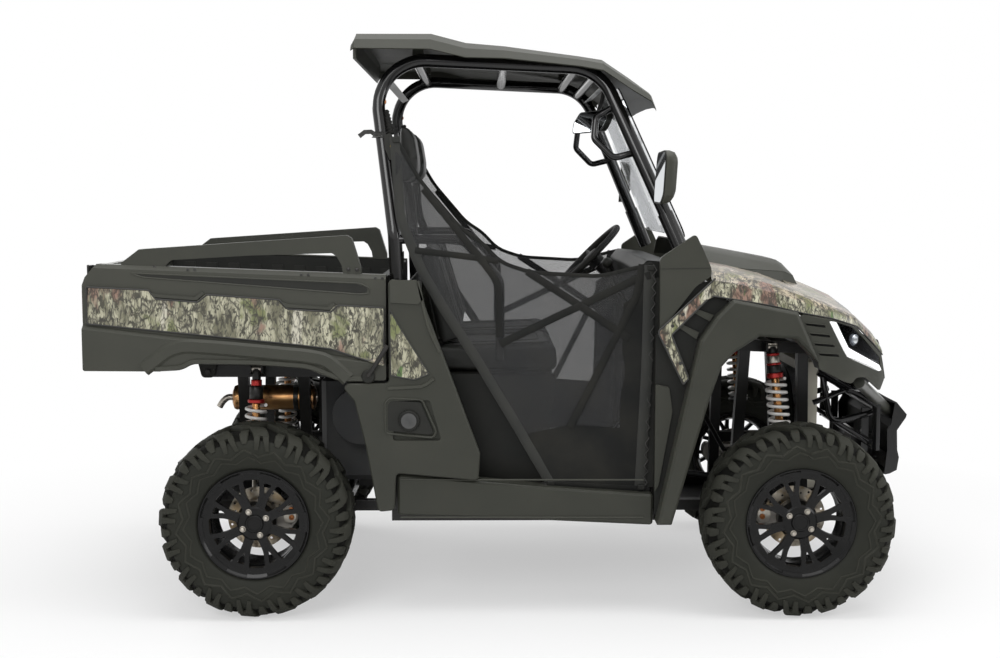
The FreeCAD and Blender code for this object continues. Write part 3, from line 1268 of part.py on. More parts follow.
# Dash: moulded body across the cab with its brow, pedals and range lever
dash_half = 560.0
dash_x0 = 470.0
dash_length = 130.0
dash_low_z = 985.0
dash_height = 265.0
dash_shares = ((0.35, 0.0), (0.0, 0.35), (0.04, 0.62), (-0.12, 0.86), (0.12, 1.0), (1.0, 0.96), (1.0, 0.0))
dash_outline = placed(dash_shares, dash_x0, dash_low_z, dash_length, dash_height)
dash_body = prism(dash_outline, -dash_half, dash_half, 16.0)
column_room = rod(wheel_centre, column_foot + column_axis * overrun * 3, column_radius + 6.0)
dash_body = dash_body.cut(column_room)
pedals = []
for y, width in ((300.0, 80.0), (420.0, 52.0)):
    pad = bar(V(460.0, y, 470.0), V(500.0, y, 545.0), width, 8.0)
    stem = rod(V(482.0, y, 520.0), V(530.0, y, dash_low_z + 8.0), 8.0)
    pedals.append(fuse([pad, stem]))
lever = tube([V(500.0, 60.0, dash_low_z + 60.0), V(420.0, 60.0, 1120.0), V(400.0, 60.0, 1205.0)], 40.0, 8.0)
knob = Part.makeSphere(22.0, V(400.0, 60.0, 1210.0))
brackets = [box(tower_rail_rear_x - rail_size / 4, tower_rail_rear_x + rail_size / 4,
                side * tower_y - rail_size / 2, side * tower_y + rail_size / 2,
                tower_rear_z + rail_size / 2 + fit_gap, dash_low_z + overrun) for side in (-1, 1)]
nodes["dash"] = fuse([dash_body, lever, knob] + brackets + pedals)

# Headlight surrounds on the plan curve of the nose, with the lens behind an opening
nose_plan = ((985.0, 700.0), (1100.0, 686.0), (1200.0, 640.0), (1290.0, 560.0), (1360.0, 470.0), (1400.0, 380.0))
surround_depth = 46.0
surround_shares = ((0.0, 0.98), (0.19, 0.45), (0.195, 0.37), (0.46, 0.20), (0.90, 0.0), (0.985, 0.16))
surround_top_shares = (0.905, 0.72, 0.52, 0.30)
surround_x = 1000.0
surround_z = 765.0
surround_length = 380.0
surround_height = 300.0


def nose_shell(inset, depth):
    outer = inset_line(list(nose_plan), inset)
    inner = inset_line(list(nose_plan), inset + depth)
    return plan_prism(outer + inner[::-1], surround_z - overrun, surround_z + surround_height + overrun)


surround_outline = placed(surround_shares, surround_x, surround_z, surround_length, surround_height)
for share in surround_top_shares:
    x = surround_x + share * surround_length
    surround_outline.append((x, fender_low_z(x) - 2 * fit_gap))
surround_body = prism(surround_outline, 300.0, 760.0, 8.0).common(nose_shell(fit_gap, surround_depth))
lens_shares = ((0.34, 0.91), (0.51, 0.86), (0.86, 0.46), (0.87, 0.35), (0.48, 0.60))
lens_outline = placed(lens_shares, surround_x, surround_z, surround_length, surround_height)
lens_room = prism(lens_outline, 300.0, 760.0, 5.0).common(nose_shell(-overrun, overrun + surround_depth * 0.6))
surround = surround_body.cut(lens_room)
lens = prism(lens_outline, 300.0, 760.0, 5.0).common(nose_shell(6.0, surround_depth * 0.6 - 6.0))
nodes["headlights"] = both_sides(surround.fuse(lens))

# Nose panel between the headlights with slatted intake
nose_half = 372.0
nose_z0 = 800.0
nose_z1 = 985.0
nose_frame = box(nose_x, nose_x + 30.0, -nose_half, nose_half, nose_z0, nose_z1)
intake_half = 250.0
intake = box(nose_x - overrun, nose_x + 2 * overrun, -intake_half, intake_half, nose_z0 + 35.0, nose_z1 - 45.0)
slats = [bar(V(nose_x + 15.0, -intake_half - 5.0, nose_z0 + 35.0 + 35.0 * k), V(nose_x + 15.0, intake_half + 5.0,
         nose_z0 + 35.0 + 35.0 * k), 16.0, 8.0) for k in (0.5, 1.5, 2.5)]
nodes["nose_panel"] = fuse([nose_frame.cut(intake)] + slats)

# Front bumper: tube frame with a faceted plate, winch behind it
bumper_tube = 17.0
bumper_y = 318.0
bumper_tip_x = 1487.0
bumper_low_z = 412.0
upper_path = [V(rail_front_x + 6.0, bumper_y, 836.0), V(1290.0, bumper_y, 790.0), V(1462.0, bumper_y, 652.0)]
lower_path = [V(rail_front_x - 30.0, bumper_y, 560.0), V(1330.0, bumper_y, 610.0), V(1452.0, bumper_y, 664.0)]
bumper_side = [tube(upper_path, 60.0, bumper_tube), tube(lower_path, 60.0, bumper_tube * 0.8),
               rod(V(1240.0, bumper_y, 808.0), V(1260.0, bumper_y, 585.0), bumper_tube * 0.7)]
plate_shares = ((0.0, 0.93), (0.28, 1.0), (1.0, 0.85), (0.55, 0.63), (0.50, 0.34), (0.62, 0.24), (0.48, 0.04),
                (0.0, 0.0))
plate_x = 1400.0
plate_length = bumper_tip_x - plate_x
plate_height = 285.0
plate_thickness = 10.0
plate_outline = placed(plate_shares, plate_x, bumper_low_z, plate_length, plate_height)
side_plate = prism(plate_outline, bumper_y - bumper_tube, bumper_y + bumper_tube, 10.0)
beams = [bar(V(1462.0, -bumper_y, z), V(1462.0, bumper_y, z), tall, deep)
         for z, tall, deep in ((bumper_low_z + 232.0, 40.0, 44.0),)]
beams.append(bar(V(1428.0, -bumper_y, bumper_low_z + 40.0), V(1428.0, bumper_y, bumper_low_z + 40.0), 34.0, 60.0))
stay = bar(V(rail_front_x - 2.0, rail_y, rail_z + 40.0), V(1428.0, rail_y, bumper_low_z + 40.0), rail_size, 30.0)
stay_foot = box(rail_front_x - rail_size, rail_front_x + 14.0, rail_y - rail_size / 2, rail_y + rail_size / 2,
                rail_z + rail_size / 2 + fit_gap, rail_z + rail_size / 2 + 40.0)
side_stay = [rod(V(rail_front_x, rail_y, z), V(rail_front_x, bumper_y, z), bumper_tube * 0.8) for z in (836.0,)]
bumper_left = bumper_side + [side_plate, stay, stay_foot]
nodes["bumper"] = fuse(bumper_left + [mirrored(b) for b in bumper_left] + beams)
winch_x = 1366.0
winch_z = 520.0
winch_drum = rod(V(winch_x, -88.0, winch_z), V(winch_x, 88.0, winch_z), 30.0)
winch_ends = [box(winch_x - 42.0, winch_x + 42.0, y0, y1, winch_z - 42.0, winch_z + 42.0)
              for y0, y1 in ((-190.0, -88.0), (88.0, 150.0))]
winch_base = box(winch_x - 46.0, 1410.7, -190.0, 190.0, winch_z - 50.0, winch_z - 40.0)
nodes["winch"] = fuse([winch_drum, winch_base] + winch_ends)

# Door nets: stretched between the pillars and the front post
net_y = cage_low_y + hip_radius + fit_gap
net_thickness = 3.0
net_x0 = -403.0
net_length = 910.0
net_z0 = 438.0
net_height = 1254.0
net_shares = ((0.0, 1.0), (0.093, 0.872), (0.253, 0.739), (0.329, 0.706), (0.405, 0.645), (0.521, 0.617),
              (0.789, 0.606), (1.0, 0.644), (0.97, 0.0), (0.592, 0.018), (0.455, 0.199), (0.312, 0.372),
              (0.179, 0.521), (0.094, 0.629), (0.02, 0.75))
net_outline = placed(net_shares, net_x0, net_z0, net_length, net_height)
net = prism(net_outline, net_y, net_y + net_thickness)
nodes["door_nets"] = both_sides(net)

# Cargo bed: ribbed tub, hinge ears, side panels, top rails, tail lamps, tailgate
bed_front_x = -430.0
bed_rear_x = -1480.0
bed_half = 588.0
bed_wall = 6.0
bed_floor_z = 908.0
bed_rim_rear_z = 1236.0
bed_rim_front_z = 1196.0
bed_sill_z = 866.0
tailgate_pin_x = -1462.0
tailgate_pin_z = 905.0
tailgate_pin_radius = 7.0
ear_clear = 0.3
rib_count = 9
side_y = 655.0
corner_post_x = bed_rear_x + 18.0
rib_height = 5.0


def rim_z(x):
    share = (x - bed_rear_x) / (bed_front_x - bed_rear_x)
    return bed_rim_rear_z + share * (bed_rim_front_z - bed_rim_rear_z)


tub_outline = [(bed_rear_x + 2.0, bed_floor_z - bed_wall), (bed_front_x, bed_floor_z - bed_wall),
               (bed_front_x, rim_z(bed_front_x)), (bed_rear_x + 2.0, rim_z(bed_rear_x))]
tub = prism(tub_outline, -bed_half - bed_wall, bed_half + bed_wall)
tub = tub.cut(box(bed_rear_x - overrun, bed_front_x - bed_wall * 4, -bed_half, bed_half, bed_floor_z,
                  bed_rim_rear_z + overrun))
floor_notch = box(bed_rear_x - overrun, bed_rear_x + overrun * 2, -bed_half, bed_half, bed_sill_z, bed_floor_z + overrun)
tub = tub.cut(floor_notch)
tub_pieces = [tub]
rib_pitch = 2 * bed_half / rib_count
for k in range(rib_count):
    y = -bed_half + rib_pitch * (k + 0.5)
    tub_pieces.append(box(bed_rear_x + 3 * overrun, bed_front_x - bed_wall * 2, y - rib_pitch / 4, y + rib_pitch / 4,
                          bed_floor_z - bed_wall / 2, bed_floor_z + rib_height))
wall_rib_count = 10
wall_pitch = (bed_front_x - bed_rear_x - 100.0) / wall_rib_count
for k in range(wall_rib_count):
    x = bed_rear_x + 60.0 + wall_pitch * (k + 0.5)
    for side in (-1, 1):
        rib = box(x - wall_pitch / 4, x + wall_pitch / 4, bed_half - rib_height, bed_half + bed_wall / 2,
                  bed_floor_z, rim_z(x) - 40.0)
        tub_pieces.append(rib if side > 0 else mirrored(rib))
for y in (-200.0, 200.0):
    tub_pieces.append(bar(V(bed_hinge_x - 120.0, y, bed_floor_z - bed_wall - 14.0),
                          V(bed_front_x - 20.0, y, bed_floor_z - bed_wall - 14.0), 46.0, 30.0))
ear_y0 = upper_rail_y + rail_size / 2 + 8.0
ear_thickness = 10.0
ear = prism([(bed_hinge_x - 45.0, bed_floor_z - bed_wall / 2), (bed_hinge_x + 45.0, bed_floor_z - bed_wall / 2),
             (bed_hinge_x + 22.0, bed_hinge_z - 22.0), (bed_hinge_x - 22.0, bed_hinge_z - 22.0)],
            ear_y0, ear_y0 + ear_thickness, 16.0)
ear = ear.cut(rod(V(bed_hinge_x, ear_y0 - overrun, bed_hinge_z), V(bed_hinge_x, ear_y0 + 2 * overrun, bed_hinge_z),
                  bed_pin_radius + ear_clear))
tub_pieces += [ear, mirrored(ear)]
for side in (-1, 1):
    post = box(corner_post_x, corner_post_x + bed_wall, bed_half, side_y - panel_wall - fit_gap,
               bed_floor_z - bed_wall, bed_rim_rear_z)
    tub_pieces.append(post if side > 0 else mirrored(post))
tub_solid = fuse(tub_pieces)
tub_solid = tub_solid.cut(rod(V(tailgate_pin_x, -bed_half - 2 * overrun, tailgate_pin_z),
                              V(tailgate_pin_x, bed_half + 2 * overrun, tailgate_pin_z),
                              tailgate_pin_radius + ear_clear))
nodes["cargo_bed"] = tub_solid

side_top_y = bed_half + bed_wall + fit_gap
side_bevel = 14.0
ledge_drop = 14.0
ledge_out = 18.0
lip_rear_z = 1244.0
lip_front_z = 1203.0
ledge_rear_z = 1031.0
ledge_front_z = 905.0
side_foot_z = 830.0


def bed_side_line(lip_z, ledge_z, out):
    """The side's section, moved outward: lip, upright wall, ledge and flare."""
    line = [(side_top_y, lip_z), (side_y - side_bevel, lip_z), (side_y, lip_z - side_bevel), (side_y, ledge_z),
            (side_y + ledge_out, ledge_z - ledge_drop), (side_y + ledge_out, side_foot_z)]
    return inset_line(line, -out)


def bed_side_sheet(out, wall):
    return plated(bed_rear_x, bed_side_line(lip_rear_z, ledge_rear_z, out),
                  bed_front_x, bed_side_line(lip_front_z, ledge_front_z, out), wall)


side_shares = ((0.0, 0.08), (0.0, 0.78), (0.01, 0.845), (0.055, 0.975), (0.15, 1.0), (1.0, 0.89), (1.0, 0.0),
               (0.84, 0.0), (0.79, 0.045), (0.74, 0.098), (0.575, 0.13), (0.357, 0.14), (0.323, 0.135), (0.255, 0.075))
side_length = bed_front_x - bed_rear_x
side_z = 838.0
side_height = 424.0
side_outline = placed(side_shares, bed_rear_x, side_z, side_length, side_height)
camo_shares = ((0.0, 0.535), (0.014, 1.0), (0.21, 0.96), (0.232, 0.847), (0.37, 0.807), (0.40, 0.902), (0.64, 0.836),
               (0.665, 0.72), (0.81, 0.684), (0.832, 0.767), (0.997, 0.734), (0.997, 0.0), (0.905, 0.102),
               (0.81, 0.215), (0.71, 0.262), (0.325, 0.411))
camo_x = bed_rear_x + 10.0
camo_length = side_length - 10.0
camo_z = 888.0
camo_height = 275.0
camo_outline = placed(camo_shares, camo_x, camo_z, camo_length, camo_height)
side_block = prism(side_outline, side_top_y, side_y + 3 * overrun, 8.0)
nodes["bed_side_panels"] = both_sides(bed_side_sheet(0.0, panel_wall).common(side_block))
camo_wall = 4.0
camo_block = prism(camo_outline, side_y - overrun, side_y + 3 * overrun, 8.0)
nodes["bed_camo_panels"] = both_sides(bed_side_sheet(camo_wall + fit_gap, camo_wall).common(camo_block))

rail_shares = ((0.0, -0.2), (0.0, 0.0), (0.075, 0.48), (0.942, 0.97), (0.962, 0.86), (1.0, -0.2), (1.0, -0.6),
               (0.93, -0.6), (0.92, -0.1), (0.90, 0.22), (0.88, 0.34), (0.54, 0.26), (0.21, 0.10), (0.185, -0.08),
               (0.185, -0.2))
rail_piece_x = -1346.0
rail_piece_length = 829.0
rail_piece_z = 1245.0
rail_piece_height = 98.0
rail_width = 44.0
rail_outline = placed(rail_shares, rail_piece_x, rail_piece_z, rail_piece_length, rail_piece_height)
rail_clear = prism([(bed_rear_x, lip_rear_z + fit_gap), (bed_rear_x, lip_rear_z - 4 * overrun),
                    (bed_front_x, lip_front_z - 4 * overrun), (bed_front_x, lip_front_z + fit_gap)],
                   side_top_y - overrun, side_y + overrun)
rail = prism(rail_outline, side_y - side_bevel - rail_width, side_y - side_bevel, 10.0).cut(rail_clear)
nodes["bed_rails"] = both_sides(rail)
lamp_z0 = 1040.0
lamp_z1 = 1150.0
lamp_proud = 2.0
lamp = box(bed_rear_x - lamp_proud, corner_post_x - fit_gap, bed_half + bed_wall + fit_gap,
           side_y - panel_wall - fit_gap, lamp_z0, lamp_z1)
nodes["tail_lamps"] = both_sides(lamp)

gate_half = bed_half - 6.0
gate_thickness = 28.0
gate_low_z = tailgate_pin_z + 7.0
gate_high_z = rim_z(bed_rear_x) - 6.0
gate = box(tailgate_pin_x - gate_thickness / 2, tailgate_pin_x + gate_thickness / 2, -gate_half, gate_half,
           gate_low_z, gate_high_z)
gate_recess = box(tailgate_pin_x - gate_thickness / 2 - overrun, tailgate_pin_x - gate_thickness / 2 + 6.0,
                  -gate_half + 70.0, gate_half - 70.0, gate_low_z + 60.0, gate_high_z - 70.0)
gate = gate.cut(gate_recess)
gate_lugs = []
for side in (-1, 1):
    y0 = side * (gate_half - 40.0)
    lug = rod(V(tailgate_pin_x, y0, tailgate_pin_z), V(tailgate_pin_x, side * gate_half, tailgate_pin_z), 12.0)
    pin = rod(V(tailgate_pin_x, y0, tailgate_pin_z),
              V(tailgate_pin_x, side * (bed_half + bed_wall), tailgate_pin_z), tailgate_pin_radius)
    gate_lugs += [lug, pin]
nodes["tailgate"] = fuse([gate] + gate_lugs)

for name, shape in nodes.items():
    print(name, len(shape.Solids), shape.isValid(), round(shape.Volume / 1e6, 3))
    shape.exportStep("parts/" + name + ".step")
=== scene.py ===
# %% [markdown]
# # A side by side utility vehicle, dressed from its fixed frame
#
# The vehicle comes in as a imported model: every panel, tube and wheel is already at its true
# size and place, in metres, with X to the nose, Y to the left and Z up. Nothing of it is moved
# here. We give each node a finish, and where the real piece is soft or richly moulded we build
# a finer one in the same place and let it ride on the same body.

# %% Load the frame
import json
import math

import bmesh
import bpy
from mathutils import Matrix, Vector
from mathutils.bvhtree import BVHTree
from mathutils.geometry import delaunay_2d_cdt


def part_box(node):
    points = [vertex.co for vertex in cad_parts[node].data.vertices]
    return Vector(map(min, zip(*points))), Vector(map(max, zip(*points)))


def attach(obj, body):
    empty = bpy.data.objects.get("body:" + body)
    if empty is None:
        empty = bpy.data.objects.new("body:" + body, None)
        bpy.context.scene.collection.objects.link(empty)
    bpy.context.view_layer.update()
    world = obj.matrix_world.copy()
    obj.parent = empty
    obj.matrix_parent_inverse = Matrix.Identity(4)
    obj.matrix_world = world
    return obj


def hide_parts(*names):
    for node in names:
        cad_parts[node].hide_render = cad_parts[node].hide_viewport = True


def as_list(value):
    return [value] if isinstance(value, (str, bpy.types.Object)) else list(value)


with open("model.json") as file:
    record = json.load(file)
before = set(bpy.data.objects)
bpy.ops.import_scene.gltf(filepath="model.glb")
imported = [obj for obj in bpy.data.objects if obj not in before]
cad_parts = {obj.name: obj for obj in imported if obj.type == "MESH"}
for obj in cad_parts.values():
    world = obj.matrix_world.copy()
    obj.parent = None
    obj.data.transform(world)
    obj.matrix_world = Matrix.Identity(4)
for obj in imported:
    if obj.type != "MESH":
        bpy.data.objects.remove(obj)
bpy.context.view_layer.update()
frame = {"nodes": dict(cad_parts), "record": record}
MM = 0.001

# %% [markdown]
# ## The camera
#
# The picture was taken from the vehicle's right side, a little above its wheels and from about
# five metres. A lens and a place that bring the two wheels and the roof to their places in the
# frame come first.

# %% Camera at the photograph's angle
camera_data = bpy.data.cameras.new("portrait_camera")
camera_data.lens = 49.356
camera_data.sensor_width = 36.0
camera = bpy.data.objects.new("portrait_camera", camera_data)
camera.location = (-0.0792, -5.3978, 1.4756)
camera.rotation_euler = (math.radians(90 - 5.541), 0, -math.radians(0.541))
bpy.context.scene.collection.objects.link(camera)
bpy.context.scene.camera = camera
print("camera at", tuple(round(v, 3) for v in camera.location))

# %% [markdown]
# ## The studio
#
# A catalogue picture shows its vehicle on white. The light stays at a plain level, so that a
# colour looks as it is written, and the white comes from what the camera sees of the world and
# of the far floor, through the Light Path node. Near the wheels half of what the camera sees of
# the floor is plain pale paint, which keeps the soft shadow.

# %% Colour and node helpers
def ink(red, green, blue):
    """A colour as seen on a screen, 0 to 255, turned into the linear values of a shader."""
    linear = []
    for c in (red, green, blue):
        c /= 255
        linear.append(c / 12.92 if c <= 0.04045 else ((c + 0.055) / 1.055) ** 2.4)
    return (*linear, 1.0)


def feed(tree, source, socket):
    """Links a socket to an input, or sets the input's value."""
    if isinstance(source, bpy.types.NodeSocket):
        tree.links.new(source, socket)
    else:
        socket.default_value = source


def add(tree, kind, *sources, **values):
    """A node: sources feed its first inputs, and values its settings or its inputs by name."""
    made = tree.nodes.new(kind)
    for key, value in values.items():
        if hasattr(made, key):
            setattr(made, key, value)
        else:
            names = [socket.name.lower() for socket in made.inputs]
            feed(tree, value, made.inputs[names.index(key.replace("_", " ").lower())])
    for source, socket in zip(sources, made.inputs):
        feed(tree, source, socket)
    return made


def reckoned(tree, operation, *sources):
    """What a Math node makes of sockets and numbers."""
    return add(tree, "ShaderNodeMath", *sources, operation=operation).outputs[0]


def own_place(tree):
    """Coordinates in the object's own metres."""
    return add(tree, "ShaderNodeTexCoord").outputs["Object"]


def blend_colours(tree, factor, first, second, kind="MIX"):
    """A Mix node for colours; each argument is a socket or a value."""
    mix = add(tree, "ShaderNodeMix", data_type="RGBA", blend_type=kind)
    for index, source in ((0, factor), (6, first), (7, second)):
        feed(tree, source, mix.inputs[index])
    return mix.outputs[2]


print("helpers: ink, feed, add, reckoned, own_place, blend_colours")

# %% World
WHITE = (1, 1, 1, 1)
world = bpy.data.worlds.new("studio_world")
bpy.context.scene.world = world
world.use_nodes = True
sky = world.node_tree
sky.nodes.clear()
rays = add(sky, "ShaderNodeLightPath").outputs
seen = reckoned(sky, "MAXIMUM", rays["Is Camera Ray"], rays["Is Transmission Ray"])
seen = reckoned(sky, "MAXIMUM", seen, rays["Is Glossy Ray"])
lit = add(sky, "ShaderNodeBackground", Color=WHITE, Strength=0.42)
white = add(sky, "ShaderNodeBackground", Color=WHITE, Strength=1.0)
choice = add(sky, "ShaderNodeMixShader", seen, lit.outputs[0], white.outputs[0])
add(sky, "ShaderNodeOutputWorld", choice.outputs[0])
print("world of", len(sky.nodes), "nodes")

# %% Floor and softboxes
floor_mesh = bpy.data.meshes.new("studio_floor")
floor_mesh.from_pydata([(-40, -40, 0), (40, -40, 0), (40, 40, 0), (-40, 40, 0)], [], [(0, 1, 2, 3)])
floor = bpy.data.objects.new("studio_floor", floor_mesh)
bpy.context.scene.collection.objects.link(floor)
paint = bpy.data.materials.new("studio_floor_paint")
paint.use_nodes = True
tree = paint.node_tree
tree.nodes.clear()
distance = add(tree, "ShaderNodeVectorMath", own_place(tree), operation="LENGTH").outputs["Value"]
fade = add(tree, "ShaderNodeMapRange", distance, From_Min=1.3, From_Max=3.2, To_Min=0.5).outputs[0]
rays = add(tree, "ShaderNodeLightPath").outputs
seen = reckoned(tree, "MAXIMUM", rays["Is Camera Ray"], rays["Is Transmission Ray"])
pale = add(tree, "ShaderNodeBsdfDiffuse", Color=(0.86, 0.86, 0.86, 1))
glow = add(tree, "ShaderNodeEmission", Color=WHITE, Strength=1.0)
choice = add(tree, "ShaderNodeMixShader", reckoned(tree, "MULTIPLY", fade, seen), pale.outputs[0], glow.outputs[0])
add(tree, "ShaderNodeOutputMaterial", choice.outputs[0])
floor_mesh.materials.append(paint)


def softbox(name, place, aim, width, height, power):
    """An area lamp turned to its aim."""
    data = bpy.data.lights.new(name, "AREA")
    data.shape = "RECTANGLE"
    data.size, data.size_y, data.energy = width, height, power
    lamp = bpy.data.objects.new(name, data)
    lamp.location = place
    lamp.rotation_euler = (Vector(aim) - Vector(place)).to_track_quat("-Z", "Y").to_euler()
    bpy.context.scene.collection.objects.link(lamp)


softbox("overhead_softbox", (0.2, -0.6, 4.6), (0, 0, 0.8), 4.5, 3.5, 150)
softbox("side_softbox", (-1.8, -5.2, 3.4), (0, 0, 0.8), 3.0, 2.2, 120)
softbox("nose_softbox", (4.6, -2.2, 2.6), (0.4, 0, 0.8), 2.2, 2.2, 70)
softbox("rear_softbox", (-3.4, 3.6, 3.2), (0, 0, 0.9), 3.0, 2.0, 60)
bpy.context.scene.view_settings.view_transform = "Standard"
print("studio: floor and", len(bpy.data.lights), "softboxes")

# %% [markdown]
# ## Shared effects
#
# Three things show on almost every surface of a work vehicle: the fine leather-like grain that
# a plastic mould leaves, the paler line where an edge gets rubbed, and a thin veil of dust. Each
# is a node group, built once. A group puts out only colours and values; the shader that turns
# them into a surface stays in each material.

# %% Node group: moulding grain
def group(name, inputs, outputs):
    """An empty shader node group; sockets are given as {name: default}."""
    tree = bpy.data.node_groups.new(name, "ShaderNodeTree")
    for label, value in inputs.items():
        kind = "NodeSocketColor" if isinstance(value, tuple) else "NodeSocketFloat"
        tree.interface.new_socket(label, in_out="INPUT", socket_type=kind).default_value = value
    for label, kind in outputs.items():
        tree.interface.new_socket(label, in_out="OUTPUT", socket_type="NodeSocket" + kind)
    return tree, add(tree, "NodeGroupInput"), add(tree, "NodeGroupOutput")


def scaled_noise(tree, place, scale, detail=2.0, stretch=None):
    """Noise over a place; stretch gives a scale and a turn that lengthen it along an axis."""
    if stretch:
        place = add(tree, "ShaderNodeMapping", place, Scale=stretch[0], Rotation=stretch[1]).outputs[0]
    return add(tree, "ShaderNodeTexNoise", place, Scale=scale, Detail=detail, Roughness=0.55).outputs["Fac"]


grain, g_in, g_out = group("moulding_grain", {"Scale": 700.0}, {"Height": "Float"})
place, scale = own_place(grain), g_in.outputs["Scale"]
cells = add(grain, "ShaderNodeTexVoronoi", place, feature="F1", Scale=scale).outputs["Distance"]
height = reckoned(grain, "MULTIPLY_ADD", cells, 0.6, scaled_noise(grain, place, scale, 3.0))
grain.links.new(height, g_out.inputs["Height"])
print("group:", grain.name)

# %% Node group: rubbed edges and dust
handling, h_in, h_out = group(
    "rubbed_and_dusty",
    {"Colour": (0.05, 0.05, 0.05, 1), "Edge Colour": (0.2, 0.2, 0.2, 1), "Dust Colour": (0.3, 0.27, 0.2, 1),
     "Edge": 0.3, "Dust": 0.2, "Roughness": 0.5},
    {"Colour": "Color", "Roughness": "Float"})
place, given = own_place(handling), h_in.outputs
pointed = add(handling, "ShaderNodeNewGeometry").outputs["Pointiness"]
ridge = add(handling, "ShaderNodeMapRange", pointed, From_Min=0.52, From_Max=0.60).outputs[0]
worn = reckoned(handling, "MULTIPLY", ridge, given["Edge"])
edged = blend_colours(handling, worn, given["Colour"], given["Edge Colour"])
clouds = scaled_noise(handling, place, 7.0, 6.0)
patches = add(handling, "ShaderNodeMapRange", clouds, From_Min=0.38, From_Max=0.78).outputs[0]
veil = reckoned(handling, "MULTIPLY", patches, given["Dust"])
dusty = blend_colours(handling, veil, edged, given["Dust Colour"])
handling.links.new(dusty, h_out.inputs["Colour"])
rougher = reckoned(handling, "MULTIPLY_ADD", veil, 0.35, given["Roughness"])
handling.links.new(rougher, h_out.inputs["Roughness"])
print("group:", handling.name)

# %% Node group: woven threads
weave, w_in, w_out = group("woven_threads", {"Scale": 450.0}, {"Height": "Float"})
place, scale = own_place(weave), w_in.outputs["Scale"]
threads = []
for turn in (45, -45):
    lean = add(weave, "ShaderNodeMapping", place, Rotation=(0, math.radians(turn), 0)).outputs[0]
    wave = add(weave, "ShaderNodeTexWave", lean, wave_type="BANDS", bands_direction="X", Scale=scale)
    threads.append(wave.outputs["Fac"])
weave.links.new(reckoned(weave, "MAXIMUM", *threads), w_out.inputs["Height"])
print("group:", weave.name)

# %% [markdown]
# ## Finishes
#
# One maker's function builds a finish from the shared groups: a base colour that is rubbed
# and dusty, a roughness that follows the dust, and a bump for the grain. What is the same
# all over, such as metallic or coat, is set on the shader itself.

# %% A finish from the shared groups
finishes = {}


def finish(name, colour, roughness, edge=0.3, dust=0.1, grain_scale=700.0, grain_depth=0.00006,
           edge_colour=ink(120, 120, 114), dust_colour=ink(110, 106, 94), texture=None, **shader):
    """A material with grain, rubbed edges and dust; shader holds the Principled settings."""
    material = bpy.data.materials.new(name)
    material.use_nodes = True
    tree = material.node_tree
    surface = tree.nodes["Principled BSDF"]
    for key, value in shader.items():
        surface.inputs[key.replace("_", " ")].default_value = value
    wear = add(tree, "ShaderNodeGroup", node_tree=handling, Colour=colour, Edge_Colour=edge_colour,
               Dust_Colour=dust_colour, Edge=edge, Dust=dust, Roughness=roughness)
    tree.links.new(wear.outputs["Colour"], surface.inputs["Base Color"])
    tree.links.new(wear.outputs["Roughness"], surface.inputs["Roughness"])
    relief = add(tree, "ShaderNodeGroup", node_tree=texture or grain, Scale=grain_scale).outputs["Height"]
    bump = add(tree, "ShaderNodeBump", Strength=1.0, Distance=grain_depth, Height=relief)
    tree.links.new(bump.outputs[0], surface.inputs["Normal"])
    finishes[name] = material
    return material
def repaint(material, colour):
    """Another colour goes into the finish's rubbed and dusty group."""
    nodes = material.node_tree.nodes
    wear = next(node for node in nodes if node.type == "GROUP" and node.node_tree == handling)
    material.node_tree.links.new(colour, wear.inputs["Colour"])
finish("charcoal_plastic", ink(52, 53, 47), 0.44, 0.20, 0.05, 520.0, 0.00010, ink(84, 84, 77),
       Specular_IOR_Level=0.22)
finish("black_plastic", ink(24, 25, 23), 0.48, 0.22, 0.04, 620.0, 0.00008, ink(62, 62, 58),
       Specular_IOR_Level=0.18)
finish("gloss_tube", ink(12, 12, 13), 0.16, 0.12, 0.03, 260.0, 0.00002, ink(56, 56, 58), Coat_Weight=0.3,
       Coat_Roughness=0.05, Specular_IOR_Level=0.3)
finish("crash_grey", ink(58, 59, 54), 0.30, 0.15, 0.04, 300.0, 0.00003, ink(110, 110, 104), Coat_Weight=0.4,
       Coat_Roughness=0.15)
finish("black_steel", ink(18, 18, 18), 0.36, 0.25, 0.05, 300.0, 0.00004, ink(76, 72, 68), Coat_Weight=0.12,
       Specular_IOR_Level=0.25, Coat_Roughness=0.2)
finish("bare_steel", ink(176, 170, 160), 0.34, 0.3, 0.15, 420.0, 0.00003, ink(214, 208, 198), Metallic=0.9)
finish("spring_white", ink(226, 224, 220), 0.30, 0.1, 0.10, 260.0, 0.00002, ink(246, 246, 244), Coat_Weight=0.5)
finish("wheel_black", ink(12, 12, 12), 0.26, 0.10, 0.02, 300.0, 0.00002, ink(50, 50, 52), Coat_Weight=0.10,
       Coat_Roughness=0.06, Specular_IOR_Level=0.16)
finish("cast_alloy", ink(148, 144, 138), 0.46, 0.3, 0.20, 380.0, 0.00012, ink(190, 186, 178), Metallic=0.8)
finish("engine_grey", ink(52, 53, 54), 0.46, 0.35, 0.10, 420.0, 0.00010, ink(120, 120, 118), Metallic=0.4)
finish("radiator_tan", ink(206, 202, 186), 0.48, 0.15, 0.10, 420.0, 0.00005, ink(220, 216, 204), Metallic=0.2)
finish("rubber_grip", ink(24, 24, 24), 0.60, 0.15, 0.08, 900.0, 0.00016, ink(54, 54, 52), Specular_IOR_Level=0.2)
finish("seat_vinyl", ink(36, 37, 35), 0.48, 0.12, 0.05, 900.0, 0.00020, ink(64, 64, 60), Specular_IOR_Level=0.3)
finish("web", ink(34, 35, 34), 0.80, 0.05, 0.10, 900.0, 0.00025, ink(60, 60, 56), texture=weave, Sheen_Weight=0.2)
finish("copper_bolt", ink(176, 112, 68), 0.32, 0.3, 0.08, 420.0, 0.00003, ink(214, 158, 116), Metallic=0.9)
